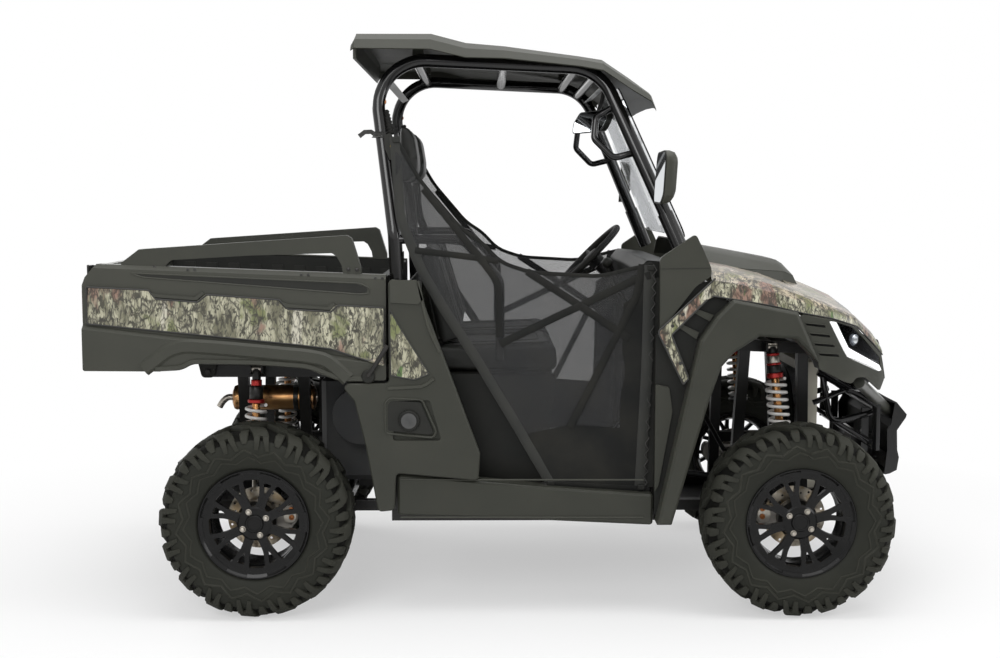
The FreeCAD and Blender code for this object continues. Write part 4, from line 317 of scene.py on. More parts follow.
finish("hook_red", ink(186, 30, 36), 0.42, 0.2, 0.08, 420.0, 0.00004, ink(216, 70, 70))
finish("led_white", ink(250, 250, 252), 0.2, 0.04, 0.03, 420.0, 0.00001, Emission_Strength=0.55,
       Emission_Color=(1, 1, 1, 1))
print("finishes:", len(finishes))

# %% [markdown]
# ## Woodland camouflage
#
# The outer panels carry a printed film: pale bark, dark cracks and twigs, brown and green
# patches. Ours is a woodland pattern of its own, built from stretched noise and cell edges.
# The film is the same over every panel, so the pattern is drawn in the vehicle's own metres.
# Where the film faces up it is tinted rosier and darker, and that tint is painted light.

# %% Camouflage film
def masked(tree, value, low, high):
    """A soft step of a value between two levels."""
    return add(tree, "ShaderNodeMapRange", value, interpolation_type="SMOOTHSTEP", From_Min=low,
               From_Max=high).outputs[0]


def twig_lines(tree, place, scale, turn, width):
    """Thin dark lines between stretched cells, turned by an angle about Y."""
    lean = add(tree, "ShaderNodeMapping", place, Rotation=(0.2, math.radians(turn), 0.1), Scale=(1.0, 1.0, 0.28))
    cells = add(tree, "ShaderNodeTexVoronoi", lean.outputs[0], feature="DISTANCE_TO_EDGE", Scale=scale)
    return add(tree, "ShaderNodeMapRange", cells.outputs["Distance"], From_Min=0.0, From_Max=width, To_Min=1.0,
               To_Max=0.0).outputs[0]


camo, c_in, c_out = group("woodland_film", {"Scale": 1.0}, {"Colour": "Color"})
sized = add(camo, "ShaderNodeVectorMath", own_place(camo), operation="SCALE", Scale=c_in.outputs["Scale"]).outputs[0]
shake = add(camo, "ShaderNodeTexNoise", sized, Scale=26.0, Detail=3.0).outputs["Color"]
bark = add(camo, "ShaderNodeVectorMath", shake, (0.016, 0.016, 0.016), sized, operation="MULTIPLY_ADD").outputs[0]


def smudge(scale, detail, long, turn):
    """Noise on the bark: long is its Z scale, and turn its angles in degrees."""
    return scaled_noise(camo, bark, scale, detail, ((1.0, 1.0, long), [math.radians(angle) for angle in turn]))


streak, fleck = smudge(30.0, 5.0, 0.30, (0, 38, 0)), smudge(85.0, 4.0, 0.4, (0, -52, 0))
colour = blend_colours(camo, masked(camo, streak, 0.36, 0.66), ink(104, 102, 80), ink(190, 187, 162))
umber = blend_colours(camo, masked(camo, fleck, 0.40, 0.60), ink(140, 112, 96), ink(84, 62, 50))
for noise, low, high, tone in (
        (fleck, 0.52, 0.60, ink(58, 56, 42)),
        (scaled_noise(camo, bark, 9.0, 3.0, ((1, 1, 0.7), (0.4, 0.3, 2.0))), 0.54, 0.64, ink(112, 118, 74)),
        (scaled_noise(camo, bark, 7.0, 4.0, ((1, 1, 0.45), (0.3, math.radians(62), 1.0))), 0.56, 0.61, umber),
        (scaled_noise(camo, bark, 13.0, 2.0, ((1, 1, 0.5), (1.0, math.radians(-30), 0.4))), 0.67, 0.70,
         ink(74, 104, 48)),
        (smudge(11.0, 2.0, 0.12, (0, 48, 0)), 0.64, 0.67, ink(198, 194, 176))):
    colour = blend_colours(camo, masked(camo, noise, low, high), colour, tone)
for scale, turn, width in ((40.0, 35.0, 0.085), (58.0, -50.0, 0.075), (26.0, 78.0, 0.045), (74.0, 12.0, 0.07)):
    patches = masked(camo, scaled_noise(camo, bark, 15.0 + scale / 4, 2.0), 0.42, 0.58)
    twigs = reckoned(camo, "MULTIPLY", twig_lines(camo, bark, scale, turn, width), patches)
    colour = blend_colours(camo, twigs, colour, ink(40, 37, 28))
# Painted light: surfaces that face up are multiplied by a rosy, darker tone, for the tint the light gives the tops.
facing = add(camo, "ShaderNodeSeparateXYZ", add(camo, "ShaderNodeNewGeometry").outputs["Normal"]).outputs["Z"]
painted_top_tint = blend_colours(camo, masked(camo, facing, 0.35, 0.85), colour, (0.86, 0.74, 0.72, 1), "MULTIPLY")
camo.links.new(painted_top_tint, c_out.inputs["Colour"])

film = finish("camo", ink(150, 148, 120), 0.34, 0.05, 0.05, 300.0, 0.00002, Coat_Weight=0.35, Coat_Roughness=0.25)
repaint(film, add(film.node_tree, "ShaderNodeGroup", node_tree=camo).outputs["Colour"])
print("film built of", len(camo.nodes), "nodes")

# %% Hood film that ends in plain plastic at the nose
FILM_END_X = 1.228
hood_film = film.copy()
hood_film.name = "hood_film"
tree = hood_film.node_tree
along = add(tree, "ShaderNodeSeparateXYZ", own_place(tree)).outputs["X"]
printed = next(node for node in tree.nodes if node.type == "GROUP" and node.node_tree == camo).outputs["Colour"]
edge = blend_colours(tree, masked(tree, along, FILM_END_X - 0.004, FILM_END_X), printed, ink(12, 12, 11))
edge = blend_colours(tree, masked(tree, along, FILM_END_X + 0.003, FILM_END_X + 0.005), edge, ink(52, 53, 47))
repaint(hood_film, edge)
finishes["hood_film"] = hood_film
print("hood film ends at x", FILM_END_X)

# %% [markdown]
# ## Rubber, clear sheet, lamps and the heated exhaust
#
# Tyre rubber is matt and dusty. The windshield is thin clear plastic. The exhaust has
# been hot, so its steel runs from brown to gold in soft clouds.

# %% Special finishes
finish("tyre", ink(36, 37, 32), 0.62, 0.30, 0.12, 520.0, 0.00018, ink(64, 64, 57), ink(70, 69, 60),
       Specular_IOR_Level=0.15)
# Painted shade: the carcass between the lugs is darker than the lugs, for the shade in the tread's grooves.
finish("tyre_groove", ink(17, 17, 15), 0.8, 0.10, 0.10, 520.0, 0.00018, ink(30, 30, 27), ink(50, 49, 42),
       Specular_IOR_Level=0.1)

clear = bpy.data.materials.new("clear_sheet")
clear.use_nodes = True
tree = clear.node_tree
sheet_shader = tree.nodes["Principled BSDF"]
for key, value in (("Base Color", (0.93, 0.95, 0.97, 1)), ("IOR", 1.10), ("Transmission Weight", 1.0),
                   ("Specular IOR Level", 0.9)):
    sheet_shader.inputs[key].default_value = value
haze = masked(tree, scaled_noise(tree, own_place(tree), 9.0, 5.0), 0.35, 0.9)
tree.links.new(reckoned(tree, "MULTIPLY_ADD", haze, 0.10, 0.02), sheet_shader.inputs["Roughness"])
finishes["clear_sheet"] = clear


def heat_tinted(name, cool, warm, dark, scale, roughness):
    """Metal whose colour wanders as heated steel does."""
    material = finish(name, cool, roughness, 0.2, 0.08, 420.0, 0.00003, Metallic=0.9)
    tree = material.node_tree
    place = own_place(tree)
    tint = blend_colours(tree, masked(tree, scaled_noise(tree, place, scale, 4.0), 0.38, 0.62), cool, warm)
    tint = blend_colours(tree, masked(tree, scaled_noise(tree, place, scale * 1.9, 5.0), 0.5, 0.72), tint, dark)
    repaint(material, tint)


heat_tinted("exhaust_steel", ink(168, 120, 78), ink(206, 158, 104), ink(96, 66, 48), 9.0, 0.30)
heat_tinted("disc_steel", ink(178, 170, 156), ink(150, 132, 104), ink(96, 86, 72), 22.0, 0.30)
heat_tinted("damper_bronze", ink(170, 118, 66), ink(204, 152, 92), ink(110, 76, 48), 30.0, 0.26)
finish("lamp_red", ink(150, 14, 18), 0.16, 0.1, 0.05, 420.0, 0.00002, Coat_Weight=0.7)
finish("lamp_clear", ink(26, 27, 28), 0.08, 0.05, 0.02, 420.0, 0.00001, Coat_Weight=1.0, Coat_Roughness=0.03)
finish("mirror_glass", ink(206, 210, 214), 0.04, 0.0, 0.03, 300.0, 0.000005, Metallic=1.0)
finish("red_anodised", ink(190, 24, 22), 0.28, 0.2, 0.04, 420.0, 0.00002, Metallic=0.5)
finish("seam_black", ink(10, 10, 10), 0.6, 0.1, 0.06)
finish("rope_red", ink(150, 24, 34), 0.7, 0.1, 0.1, 900.0, 0.0003, texture=weave)
finish("belt_yellow", ink(222, 196, 60), 0.5, 0.1, 0.05)
print("finishes:", len(finishes))

# %% [markdown]
# ## Dressing the frame's own nodes
#
# Most panels, tubes and castings are right as they come. Their meshes are made of separate
# faces, so Weld joins them, a small Bevel gives every hard edge the radius that catches light,
# and Weighted Normal keeps the flat faces flat. The mesh itself isn't changed: these are
# modifiers.

# %% Materials and edge radii on the frame
slot_of = {part["node"]: part["material_slot"] for part in frame["record"]["subparts"]}
edge_radius = {"roof": 4.0, "front_flares": 3.0, "cab_rear_panels": 2.5, "side_sills": 3.0, "bed_rails": 3.0,
               "bed_side_panels": 2.0, "tailgate": 3.0, "cargo_bed": 1.5, "dash": 4.0, "cowl": 2.5}
smooth_nodes = ("roll_cage", "steering_wheel", "coil_springs", "tie_rods")
for name in ("roof", "cowl", "bed_rails", "mirrors"):
    slot_of[name] = "charcoal_plastic"
slot_of["hood"] = "hood_film"
for name, node in frame["nodes"].items():
    node.data.materials.clear()
    node.data.materials.append(finishes[slot_of[name]])
    weld = node.modifiers.new("join_faces", "WELD")
    weld.merge_threshold = 0.02 * MM
    if name not in smooth_nodes:
        bevel = node.modifiers.new("edge_radius", "BEVEL")
        bevel.width = edge_radius.get(name, 1.2) * MM
        bevel.segments = 2
        bevel.limit_method = "ANGLE"
        bevel.angle_limit = math.radians(32)
        bevel.harden_normals = False
    weighted = node.modifiers.new("flat_faces", "WEIGHTED_NORMAL")
    weighted.keep_sharp = True
for name in ("hood", "front_fenders"):
    print(name, "rests in", [tuple(round(v, 3) for v in corner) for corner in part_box(name)])

# %% [markdown]
# ## A small kit for building pieces
#
# The richer pieces are built from a few plain operations: turn a line about an axle, sweep a
# section along a path, cut a sheet from an outline with holes in it, and give an outline depth.
# Each returns points in millimetres and the faces between them, so parts can be gathered into
# one piece with several finishes, mirrored to the other side, and made into a mesh once.

# %% Grids and outlines
def grid_faces(rows, columns, wrap_rows=False, wrap_columns=False):
    """Four-sided faces over points laid out row by row."""
    faces = []
    for r in range(rows if wrap_rows else rows - 1):
        for c in range(columns if wrap_columns else columns - 1):
            below, right = (r + 1) % rows, (c + 1) % columns
            faces.append((r * columns + c, r * columns + right, below * columns + right, below * columns + c))
    return faces


def turned(meridian, sides, centre=(0, 0, 0), closed=False):
    """A line of (radius, y) points turned about an axle along Y through the centre."""
    points = []
    for radius, y in meridian:
        for k in range(sides):
            angle = 2 * math.pi * k / sides
            points.append((centre[0] + radius * math.sin(angle), centre[1] + y, centre[2] + radius * math.cos(angle)))
    return points, grid_faces(len(meridian), sides, closed, True)


def rounded(corners, radius, steps=5, closed=True):
    """The outline with each corner turned into a short arc; points of two or three numbers."""
    corners = [Vector(c) for c in corners]
    count = len(corners)
    line = []
    for i, here in enumerate(corners):
        if not closed and i in (0, count - 1):
            line.append(here)
            continue
        back, ahead = corners[i - 1] - here, corners[(i + 1) % count] - here
        reach = min(radius, 0.46 * back.length, 0.46 * ahead.length)
        start, end = here + back.normalized() * reach, here + ahead.normalized() * reach
        for k in range(steps + 1):
            t = k / steps
            line.append(start * (1 - t) ** 2 + here * 2 * t * (1 - t) + end * t ** 2)
    return line
def soft_outline(corners, radius, steps=3):
    """A flat outline with its corners turned, as plain (a, b) pairs."""
    return [(p.x, p.y) for p in rounded(corners, radius, steps)]
print("kit: grids and outlines")

# %% Sections carried along paths
def ring_section(radius, sides=12):
    """A round section of (across, up) points."""
    return [(radius * math.cos(2 * math.pi * k / sides), radius * math.sin(2 * math.pi * k / sides))
            for k in range(sides)]


def strap_section(width, thickness):
    """A flat section with soft edges, across then up."""
    a, b, c = width / 2, thickness / 2, thickness * 0.35
    return [(a, -b + c), (a, b - c), (a - c, b), (-a + c, b), (-a, b - c), (-a, -b + c), (-a + c, -b), (a - c, -b)]


def swept(path, section, closed=False, up=(0, 0, 1), sizes=None):
    """A section carried along the path without twisting, its ends closed."""
    path = [Vector(p) for p in path]
    count = len(path)
    points = []
    across = None
    for i, here in enumerate(path):
        ahead = path[(i + 1) % count] if closed or i < count - 1 else here
        back = path[i - 1] if closed or i > 0 else here
        along = (ahead - back).normalized()
        if across is None:
            across = along.cross(Vector(up))
            if across.length < 0.05:
                across = along.cross(Vector((1, 0.2, 0)))
        across = (across - along * across.dot(along)).normalized()
        rise = across.cross(along)
        size = sizes[i] if sizes else 1.0
        points += [here + across * (a * size) + rise * (b * size) for a, b in section]
    faces = grid_faces(count, len(section), closed, True)
    if not closed:
        faces += [tuple(range(len(section)))[::-1], tuple(range((count - 1) * len(section), count * len(section)))]
    return points, faces


def tube_along(corners, bend, radius, closed=False, sides=12):
    """A round tube through the corners, bent at each."""
    return swept(rounded(corners, bend, 5, closed), ring_section(radius, sides), closed)


def bolt_head(seat, rises, radius, sides=12):
    """A low round head that stands out from its seat along Y by the two rises."""
    seat = Vector(seat)
    line = [seat] + [seat + Vector((0, rise, 0)) for rise in rises]
    return swept(line, ring_section(radius, sides), sizes=[1, 1, 0.7])


print("kit: sections and paths")

# %% Plates and sheets


def plate(outline, place, depth):
    """An outline given depth: place(a, b, out) puts each point in space."""
    count = len(outline)
    points = [place(p[0], p[1], 0.0) for p in outline] + [place(p[0], p[1], depth) for p in outline]
    faces = [(i, (i + 1) % count, count + (i + 1) % count, count + i) for i in range(count)]
    return points, faces + [tuple(range(count)), tuple(range(count, 2 * count))[::-1]]
def on_side(outline, y, depth, out=0.0):
    """A closed plate on the right side with its outer face at y + out."""
    return plate(outline, lambda a, b, d: (a, -(y + out - d), b), depth)
def inside(point, outline):
    """Whether a flat point lies in an outline."""
    hit = False
    for i in range(len(outline)):
        (x0, y0), (x1, y1) = outline[i - 1][:2], outline[i][:2]
        if (y0 > point[1]) != (y1 > point[1]) and point[0] < (x1 - x0) * (point[1] - y0) / (y1 - y0) + x0:
            hit = not hit
    return hit


def cut_sheet(outline, holes, spacing, place):
    """A triangulated sheet with holes, set in space by place(a, b)."""
    loops = [[Vector((p[0], p[1])) for p in loop] for loop in [outline] + holes]
    flat, edges = [], []
    for loop in loops:
        first = len(flat)
        flat += loop
        edges += [(first + i, first + (i + 1) % len(loop)) for i in range(len(loop))]
    low = [min(p[k] for p in loops[0]) for k in (0, 1)]
    high = [max(p[k] for p in loops[0]) for k in (0, 1)]
    row, b = 0, low[1] + spacing / 2
    while b < high[1]:
        a = low[0] + spacing * (0.5 if row % 2 else 0.25)
        while a < high[0]:
            spot = Vector((a, b))
            if inside(spot, loops[0]) and not any(inside(spot, hole) for hole in loops[1:]):
                if min((spot - p).length for loop in loops for p in loop) > spacing * 0.45:
                    flat.append(spot)
            a += spacing
        row, b = row + 1, b + spacing * 0.87
    made = delaunay_2d_cdt(flat, edges, [], 0, 1e-4)
    corners, faces = made[0], []
    for face in made[2]:
        middle = sum((corners[i] for i in face), Vector((0, 0))) / len(face)
        if inside(middle, loops[0]) and not any(inside(middle, hole) for hole in loops[1:]):
            faces.append(tuple(face))
    return [place(p.x, p.y) for p in corners], faces


print("kit: plates and sheets")

# %% Depth, blocks and mirror images
def thick(sheet, depth_of):
    """A sheet given a back: depth_of(point) moves a point to the back."""
    points, faces = sheet
    count = len(points)
    edges = {(face[i - 1], face[i]) for face in faces for i in range(len(face))}
    rim = [edge for edge in edges if edge[::-1] not in edges]
    back = [tuple(count + i for i in face[::-1]) for face in faces]
    walls = [(b, a, count + a, count + b) for a, b in sorted(rim)]
    return list(points) + [depth_of(p) for p in points], list(faces) + back + walls


def block(low, high):
    """A plain block between two corners; the piece's bevel rounds it."""
    corners = [(x, y, z) for x in (low[0], high[0]) for y in (low[1], high[1]) for z in (low[2], high[2])]
    return corners, [(0, 1, 3, 2), (4, 6, 7, 5), (0, 4, 5, 1), (2, 3, 7, 6), (0, 2, 6, 4), (1, 5, 7, 3)]


def moved(part, shift=(0, 0, 0), turn=Matrix.Identity(3)):
    """The part turned by a matrix, then shifted."""
    points, faces = part
    return [turn @ Vector(p) + Vector(shift) for p in points], faces


def flipped(part):
    """The part on the other side of the vehicle."""
    points, faces = part
    return [(p[0], -p[1], p[2]) for p in points], [tuple(face[::-1]) for face in faces]
def both_sides(parts):
    """Parts with their finishes, and their mirror images."""
    return parts + [(flipped(part), coat) for part, coat in parts]
print("kit: depth and mirror images")

# %% Make one piece of several parts
made_pieces = {}


def make(name, parts, body="chassis", slot=None, sharp=32, radius=0.0, both=False, replaces=()):
    """One object from (part, finish) pairs; it rides on its body and may stand for CAD nodes."""
    if both:
        parts = both_sides(parts)
    coats = sorted({coat for part, coat in parts})
    mesh = bpy.data.meshes.new(name)
    points, faces, marks = [], [], []
    for (part_points, part_faces), coat in parts:
        first = len(points)
        points += [Vector(p) * MM for p in part_points]
        faces += [tuple(first + i for i in face) for face in part_faces]
        marks += [coats.index(coat)] * len(part_faces)
    mesh.from_pydata(points, [], faces)
    for coat in coats:
        mesh.materials.append(finishes[coat])
    mesh.polygons.foreach_set("material_index", marks)
    work = bmesh.new()
    work.from_mesh(mesh)
    bmesh.ops.recalc_face_normals(work, faces=work.faces)
    work.to_mesh(mesh)
    work.free()
    mesh.shade_smooth()
    mesh.set_sharp_from_angle(angle=math.radians(sharp))
    made = bpy.data.objects.new(name, mesh)
    bpy.context.scene.collection.objects.link(made)
    if radius:
        bevel = made.modifiers.new("edge_radius", "BEVEL")
        bevel.width, bevel.segments = radius * MM, 2
        bevel.limit_method, bevel.angle_limit = "ANGLE", math.radians(sharp)
        weighted = made.modifiers.new("flat_faces", "WEIGHTED_NORMAL")
        weighted.keep_sharp = True
    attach(made, body)
    if replaces:
        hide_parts(*replaces)
    made_pieces[name] = len(faces)
    return made


print("kit: make")

# %% [markdown]
# ## Tyres
#
# An off-road tyre is a smooth carcass with thick rubber blocks on it: forked shoulder lugs that
# wrap down onto the sidewall, smaller knobs between them, and slanted bars across the crown.
# The carcass is a line turned about the axle. Each lug is a strip of cross sections laid along
# that same line, so it follows the shoulder's curve, and zigzag ridges run below the lugs. The
# lugs are drawn for 22 pitches round a tyre and widened to the number that the picture shows.

# %% The carcass line and places on it
AXLE_Z = 340.0
FRONT_AXLE_X = 1015.0
REAR_AXLE_X = -890.0
TYRE_OUTER_Y = 745.0
PITCHES = 16
GROOVE_RADIUS = 296
NARROW_HALF, WIDE_HALF = 115.0, 137.5
CARCASS = ((322, 0.0), (321.5, 0.22), (320.5, 0.42), (316, 0.66), (303, 0.84), (285, 0.925), (262, 0.955),
           (240, 0.945), (218, 0.90), (203, 0.845), (196.5, 0.80), (192, 0.785))


def smooth_line(points, steps):
    """More points on the smooth line through the given ones."""
    line = []
    for i in range(len(points) - 1):
        before, after = points[max(i - 1, 0)], points[min(i + 2, len(points) - 1)]
        for k in range(steps):
            t = k / steps
            line.append(tuple(0.5 * (2 * b + (c - a) * t + (2 * a - 5 * b + 4 * c - d) * t ** 2
                                     + (3 * b - a - 3 * c + d) * t ** 3)
                              for a, b, c, d in zip(before, points[i], points[i + 1], after)))
    return line + [points[-1]]


def tyre_places(half):
    """The half line from crown to bead with its run, and a function to places on the tyre."""
    line = smooth_line([(r, share * half) for r, share in CARCASS], 3)
    runs = [0.0]
    for a, b in zip(line, line[1:]):
        runs.append(runs[-1] + math.dist(a, b))

    def at(run, angle, lift):
        side, run = (1 if run >= 0 else -1), min(abs(run), runs[-1] - 0.01)
        i = next(k for k in range(1, len(runs)) if runs[k] >= run)
        t = (run - runs[i - 1]) / (runs[i] - runs[i - 1])
        (r0, y0), (r1, y1) = line[i - 1], line[i]
        size = math.dist(line[i - 1], line[i])
        out, over = (y1 - y0) / size, (r0 - r1) / size
        radius = r0 + (r1 - r0) * t + out * lift
        y = (y0 + (y1 - y0) * t + over * lift) * side
        return (radius * math.sin(angle), y, radius * math.cos(angle))

    return line, at


print("carcass line:", len(CARCASS), "points")

# %% Lugs and ridges
# a lug's stations: run from the crown in mm, lean and half width in radians, height in mm
SPREAD = 22 / PITCHES
SHOULDER = ((50, -0.055, 0.058, 17.5), (66, -0.035, 0.062, 18.5), (82, -0.012, 0.064, 18), (96, 0.004, 0.064, 15))
KNOB = ((72, 0.01, 0.030, 13), (88, 0.004, 0.036, 14), (104, 0.006, 0.032, 9.5), (116, 0.01, 0.020, 5.5))
CROWN_BAR = ((-7, -0.10, 0.042, 17.5), (12, -0.065, 0.048, 18), (40, -0.008, 0.046, 17.5), (56, 0.02, 0.040, 16))
PRONGS = [[(92, 0.002 + s * 0.036, 0.027, 15.5), (106, 0.012 + s * 0.038, 0.026, 12),
           (120, 0.02 + s * 0.044, 0.023, 7.5), (134, 0.026 + s * 0.052, 0.018, 4.5)] for s in (-1, 1)]
LUGS = ((SHOULDER, 0.0), (PRONGS[0], 0.0), (PRONGS[1], 0.0), (KNOB, 0.5), (CROWN_BAR, 0.5))


def lug(at, stations):
    """A rubber block over stations of (run, angle, half width angle, height)."""
    points = []
    for k, (run, angle, half, height) in enumerate(stations):
        end = k in (0, len(stations) - 1)
        inner, top = half * 0.82, (height * 0.86 if end else height)
        for turn, lift in ((-half, -1.5), (-half, height * 0.72), (-inner, top), (inner, top),
                           (half, height * 0.72), (half, -1.5)):
            points.append(at(run, angle + turn, lift))
    faces = grid_faces(len(stations), 6)
    last = (len(stations) - 1) * 6
    return points, faces + [(0, 1, 2, 3, 4, 5), tuple(range(last, last + 6))[::-1]]


def chosen(part, test):
    """The faces whose middle passes the test."""
    points, faces = part
    middle = [[sum(points[i][k] for i in face) / len(face) for k in range(3)] for face in faces]
    kept = [face for face, at in zip(faces, middle) if test(*at)]
    index = {old: new for new, old in enumerate(sorted({i for face in kept for i in face}))}
    return [points[i] for i in index], [tuple(index[i] for i in face) for face in kept]


def tyre_parts(half):
    """Carcass, lugs and ridges of one tyre about its own centre."""
    line, at = tyre_places(half)
    whole = [(r, -y) for r, y in line[::-1]] + line[1:]
    bead = [(whole[-1][0] - 4, whole[-1][1] - 12)]
    carcass = turned([(bead[0][0], -bead[0][1])] + whole + bead, 112)
    parts = [chosen(carcass, lambda x, y, z: math.hypot(x, z) > GROOVE_RADIUS),
             chosen(carcass, lambda x, y, z: math.hypot(x, z) <= GROOVE_RADIUS)]
    pitch = 2 * math.pi / PITCHES
    wide = half / NARROW_HALF
    for side, start in ((-1, 0.75), (1, 0.25)):
        for k in range(PITCHES):
            for stations, place in LUGS:
                middle = pitch * (k + start + place)
                parts.append(lug(at, [(side * run * wide, middle + lean * SPREAD, width * SPREAD, height)
                                      for run, lean, width, height in stations]))
        for base, swing, size, offset in ((143, 13, 5.2, 0.0), (163, 11, 4.4, 0.12)):
            zigzag = []
            for k in range(PITCHES * 4):
                run = base * wide + swing * (1, 0.1, -0.9, 0.1)[k % 4]
                zigzag.append(at(side * run, pitch * (k / 4 + start + offset), -1.6))
            parts.append(swept(zigzag, ring_section(size, 5), closed=True, up=(0, 1, 0)))
    return parts


WHEELS = {"front_left": (FRONT_AXLE_X, 1, NARROW_HALF), "front_right": (FRONT_AXLE_X, -1, NARROW_HALF),
          "rear_left": (REAR_AXLE_X, 1, WIDE_HALF), "rear_right": (REAR_AXLE_X, -1, WIDE_HALF)}
for name, (x, side, half) in WHEELS.items():
    centre = (x, side * (TYRE_OUTER_Y - half), AXLE_Z)
    # The crown and shoulder carcass between the lugs takes the darker rubber, as painted shade in the grooves.
    rubber = [(moved(part if side > 0 else flipped(part), centre), "tyre_groove" if k == 0 else "tyre")
              for k, part in enumerate(tyre_parts(half))]
    make("off_road_tyre_" + name, rubber, "wheel_" + name, "tyre", sharp=38, replaces=["tyre_" + name])
print("tyres:", made_pieces["off_road_tyre_front_left"], "faces each")

# %% [markdown]
# ## Rims, brake discs and callipers
#
# The cast rim is gloss black: eight forked spokes leave eight wide windows and eight small
# triangles, and the lip carries raised plates. A sheet cut from one outline with sixteen
# holes gives all of the spokes at once; it is dished by its place function and then given
# thickness. Behind it turns a drilled brake disc, and the calliper stays with the upright.

# %% Rim face, barrel, hub and bolts
RIM_LIP_Y = 725.0
SPOKES = 8
PLATE_RADIUS = 177


def dish(radius):
    """How far the rim's face lies in from its lip."""
    if radius < 62:
        return 30.0 - 6.0 * radius / 62
    return 24.0 - 15.0 * ((radius - 62) / 118) ** 1.5


def polar(radius, degrees):
    """A point of the wheel's face, with the angle taken from the top."""
    return (radius * math.sin(math.radians(degrees)), radius * math.cos(math.radians(degrees)))


def rim_parts(width):
    """One rim about the axle, its lip at y = 0 and its inner side towards minus Y."""
    window = [(58, 4), (67, 8.4), (82, 11.4), (108, 13.0), (159, 10.6)]
    window = [polar(r, a) for r, a in window] + [polar(r, -a) for r, a in window[::-1]]
    small = [polar(r, a) for r, a in ((106, 0), (150, 5.6), (150, -5.6))]
    circle = [polar(181, 360 * k / 96) for k in range(96)]
    holes = []
    spoke_turns = [360 / SPOKES * k for k in range(SPOKES)]
    for spoke in spoke_turns:
        for outline, bend, turn in ((window, 9, spoke + 180 / SPOKES), (small, 6, spoke)):
            c, s = math.cos(math.radians(turn)), math.sin(math.radians(turn))
            holes.append([(p.x * c + p.y * s, p.y * c - p.x * s) for p in rounded(outline, bend, 3)])
    face = cut_sheet(circle, holes, 13.0, lambda a, b: Vector((a, -dish(math.hypot(a, b)), b)))
    face = thick(face, lambda p: Vector((p[0] * 0.985, p[1] - 17.0, p[2] * 0.985)))
    lip = turned([(181, -9), (184, -6), (188, -1), (192, 0), (194.5, -3), (194, -8), (188, -13), (180, -19),
                  (178, -34), (160, -48), (158, -width + 60), (176, -width + 16), (190, -width), (186, -width - 1),
                  (171, -width + 14), (153, -width + 60), (154, -50), (165, -36), (170, -24), (176, -14)],
                 96, closed=True)
    parts = [(face, "wheel_black"), (lip, "wheel_black")]
    for spoke in spoke_turns:
        arc = [polar(r, spoke + 180 / SPOKES + a) for r, swing in ((PLATE_RADIUS, 1), (187.5, -1))
               for a in range(-11 * swing, 12 * swing, 2 * swing)]
        raised = plate(arc, lambda a, b, out: (a, out - 10.2 + 0.45 * (math.hypot(a, b) - PLATE_RADIUS), b), 5.0)
        parts.append((raised, "wheel_black"))
    hub = turned([(62, -40), (60, -24), (54, -19.5), (33, -18.5), (31.5, -15), (29, -12.5), (24, -11.5),
                  (23, -13.5), (3, -14.0), (0.1, -14.0)], 48)
    parts.append((hub, "wheel_black"))
    parts.append((turned([(70, -95), (70, -60), (58, -42)], 32), "black_steel"))
    for k in range(4):
        x, z = polar(45, 90 * k + 45)
        seat = turned([(10.5, -22), (10.5, -17.5), (9, -17), (8.6, -13), (6.5, -9.5), (3, -8.2), (0.1, -8.0)],
                      18, (x, 0, z))
        parts.append((seat, "bare_steel"))
    return parts


print("rim:", SPOKES, "forked spokes")

# %% Disc, calliper and the four wheels
def disc_parts():
    """The drilled disc about the axle, its outer face at y = 0."""
    edge = [polar(110, 7.5 * k) for k in range(48)]
    bore = [polar(62, 12 * k) for k in range(30)]
    holes = [bore] + [[(x + px, z + pz) for px, pz in (polar(4.6, 45 * j) for j in range(8))]
                      for k in range(24) for x, z in [polar((72, 86, 99)[k % 3], 15 * k)]]
    sheet = cut_sheet(edge, holes, 11.0, lambda a, b: Vector((a, 0.0, b)))
    carrier = turned([(64, -4), (64, 2), (30, 8), (30, -2)], 30)
    return [(thick(sheet, lambda p: Vector((p[0], p[1] - 5.0, p[2]))), "disc_steel"), (carrier, "cast_alloy")]


def calliper_parts(side_x):
    """A calliper over the disc's edge, its two copper bolts facing out."""
    outline = [(96, 44), (128, 50), (142, 30), (142, -4), (126, -26), (100, -22), (92, 8)]
    if side_x < 0:
        outline = [(-a, b) for a, b in outline]
    body = plate(rounded(outline, 12, 4), lambda a, b, out: (a, -34 + out, b), 58.0)
    ridge = [(a * 0.97, b * 0.72 + 3) for a, b in outline]
    rib = plate(rounded(ridge, 9, 3), lambda a, b, out: (a, 20 + out, b), 10.0)
    parts = [(body, "cast_alloy"), (rib, "bare_steel")]
    for z in (34, 6):
        bolt = turned([(10, 28), (10, 33), (8.6, 35), (4.4, 35.2), (4.0, 31), (0.1, 31)], 18, (side_x * 120, 0, z))
        parts.append((bolt, "copper_bolt"))
    return parts


def in_place(parts, x, y, side):
    """Parts about the axle set at a wheel; the right side is the mirror image."""
    ready = []
    for part, coat in parts:
        part = moved(part, (x, y, AXLE_Z))
        ready.append((part if side > 0 else flipped(part), coat))
    return ready


DISC_Y = 607.0
RIM_TURN = {"front": -13.5, "rear": 19.5}
for name, (x, side, half) in WHEELS.items():
    turn = Matrix.Rotation(math.radians(RIM_TURN[name.split("_")[0]]), 3, "Y")
    rim = [(moved(part, turn=turn), coat) for part, coat in rim_parts(2 * half - 40)]
    wheel = in_place(rim, x, RIM_LIP_Y, side) + in_place(disc_parts(), x, DISC_Y, side)
    make("forked_rim_" + name, wheel, "wheel_" + name, "wheel_black", sharp=30, replaces=["rim_" + name])
    carrier = "steered_knuckle_" + name.split("_")[1] if "front" in name else "chassis"
    brake = in_place(calliper_parts(-1 if "front" in name else 1), x, DISC_Y, side)
    make("brake_calliper_" + name, brake, carrier, "cast_alloy", radius=1.5)
print("rims:", made_pieces["forked_rim_front_left"], "faces each")

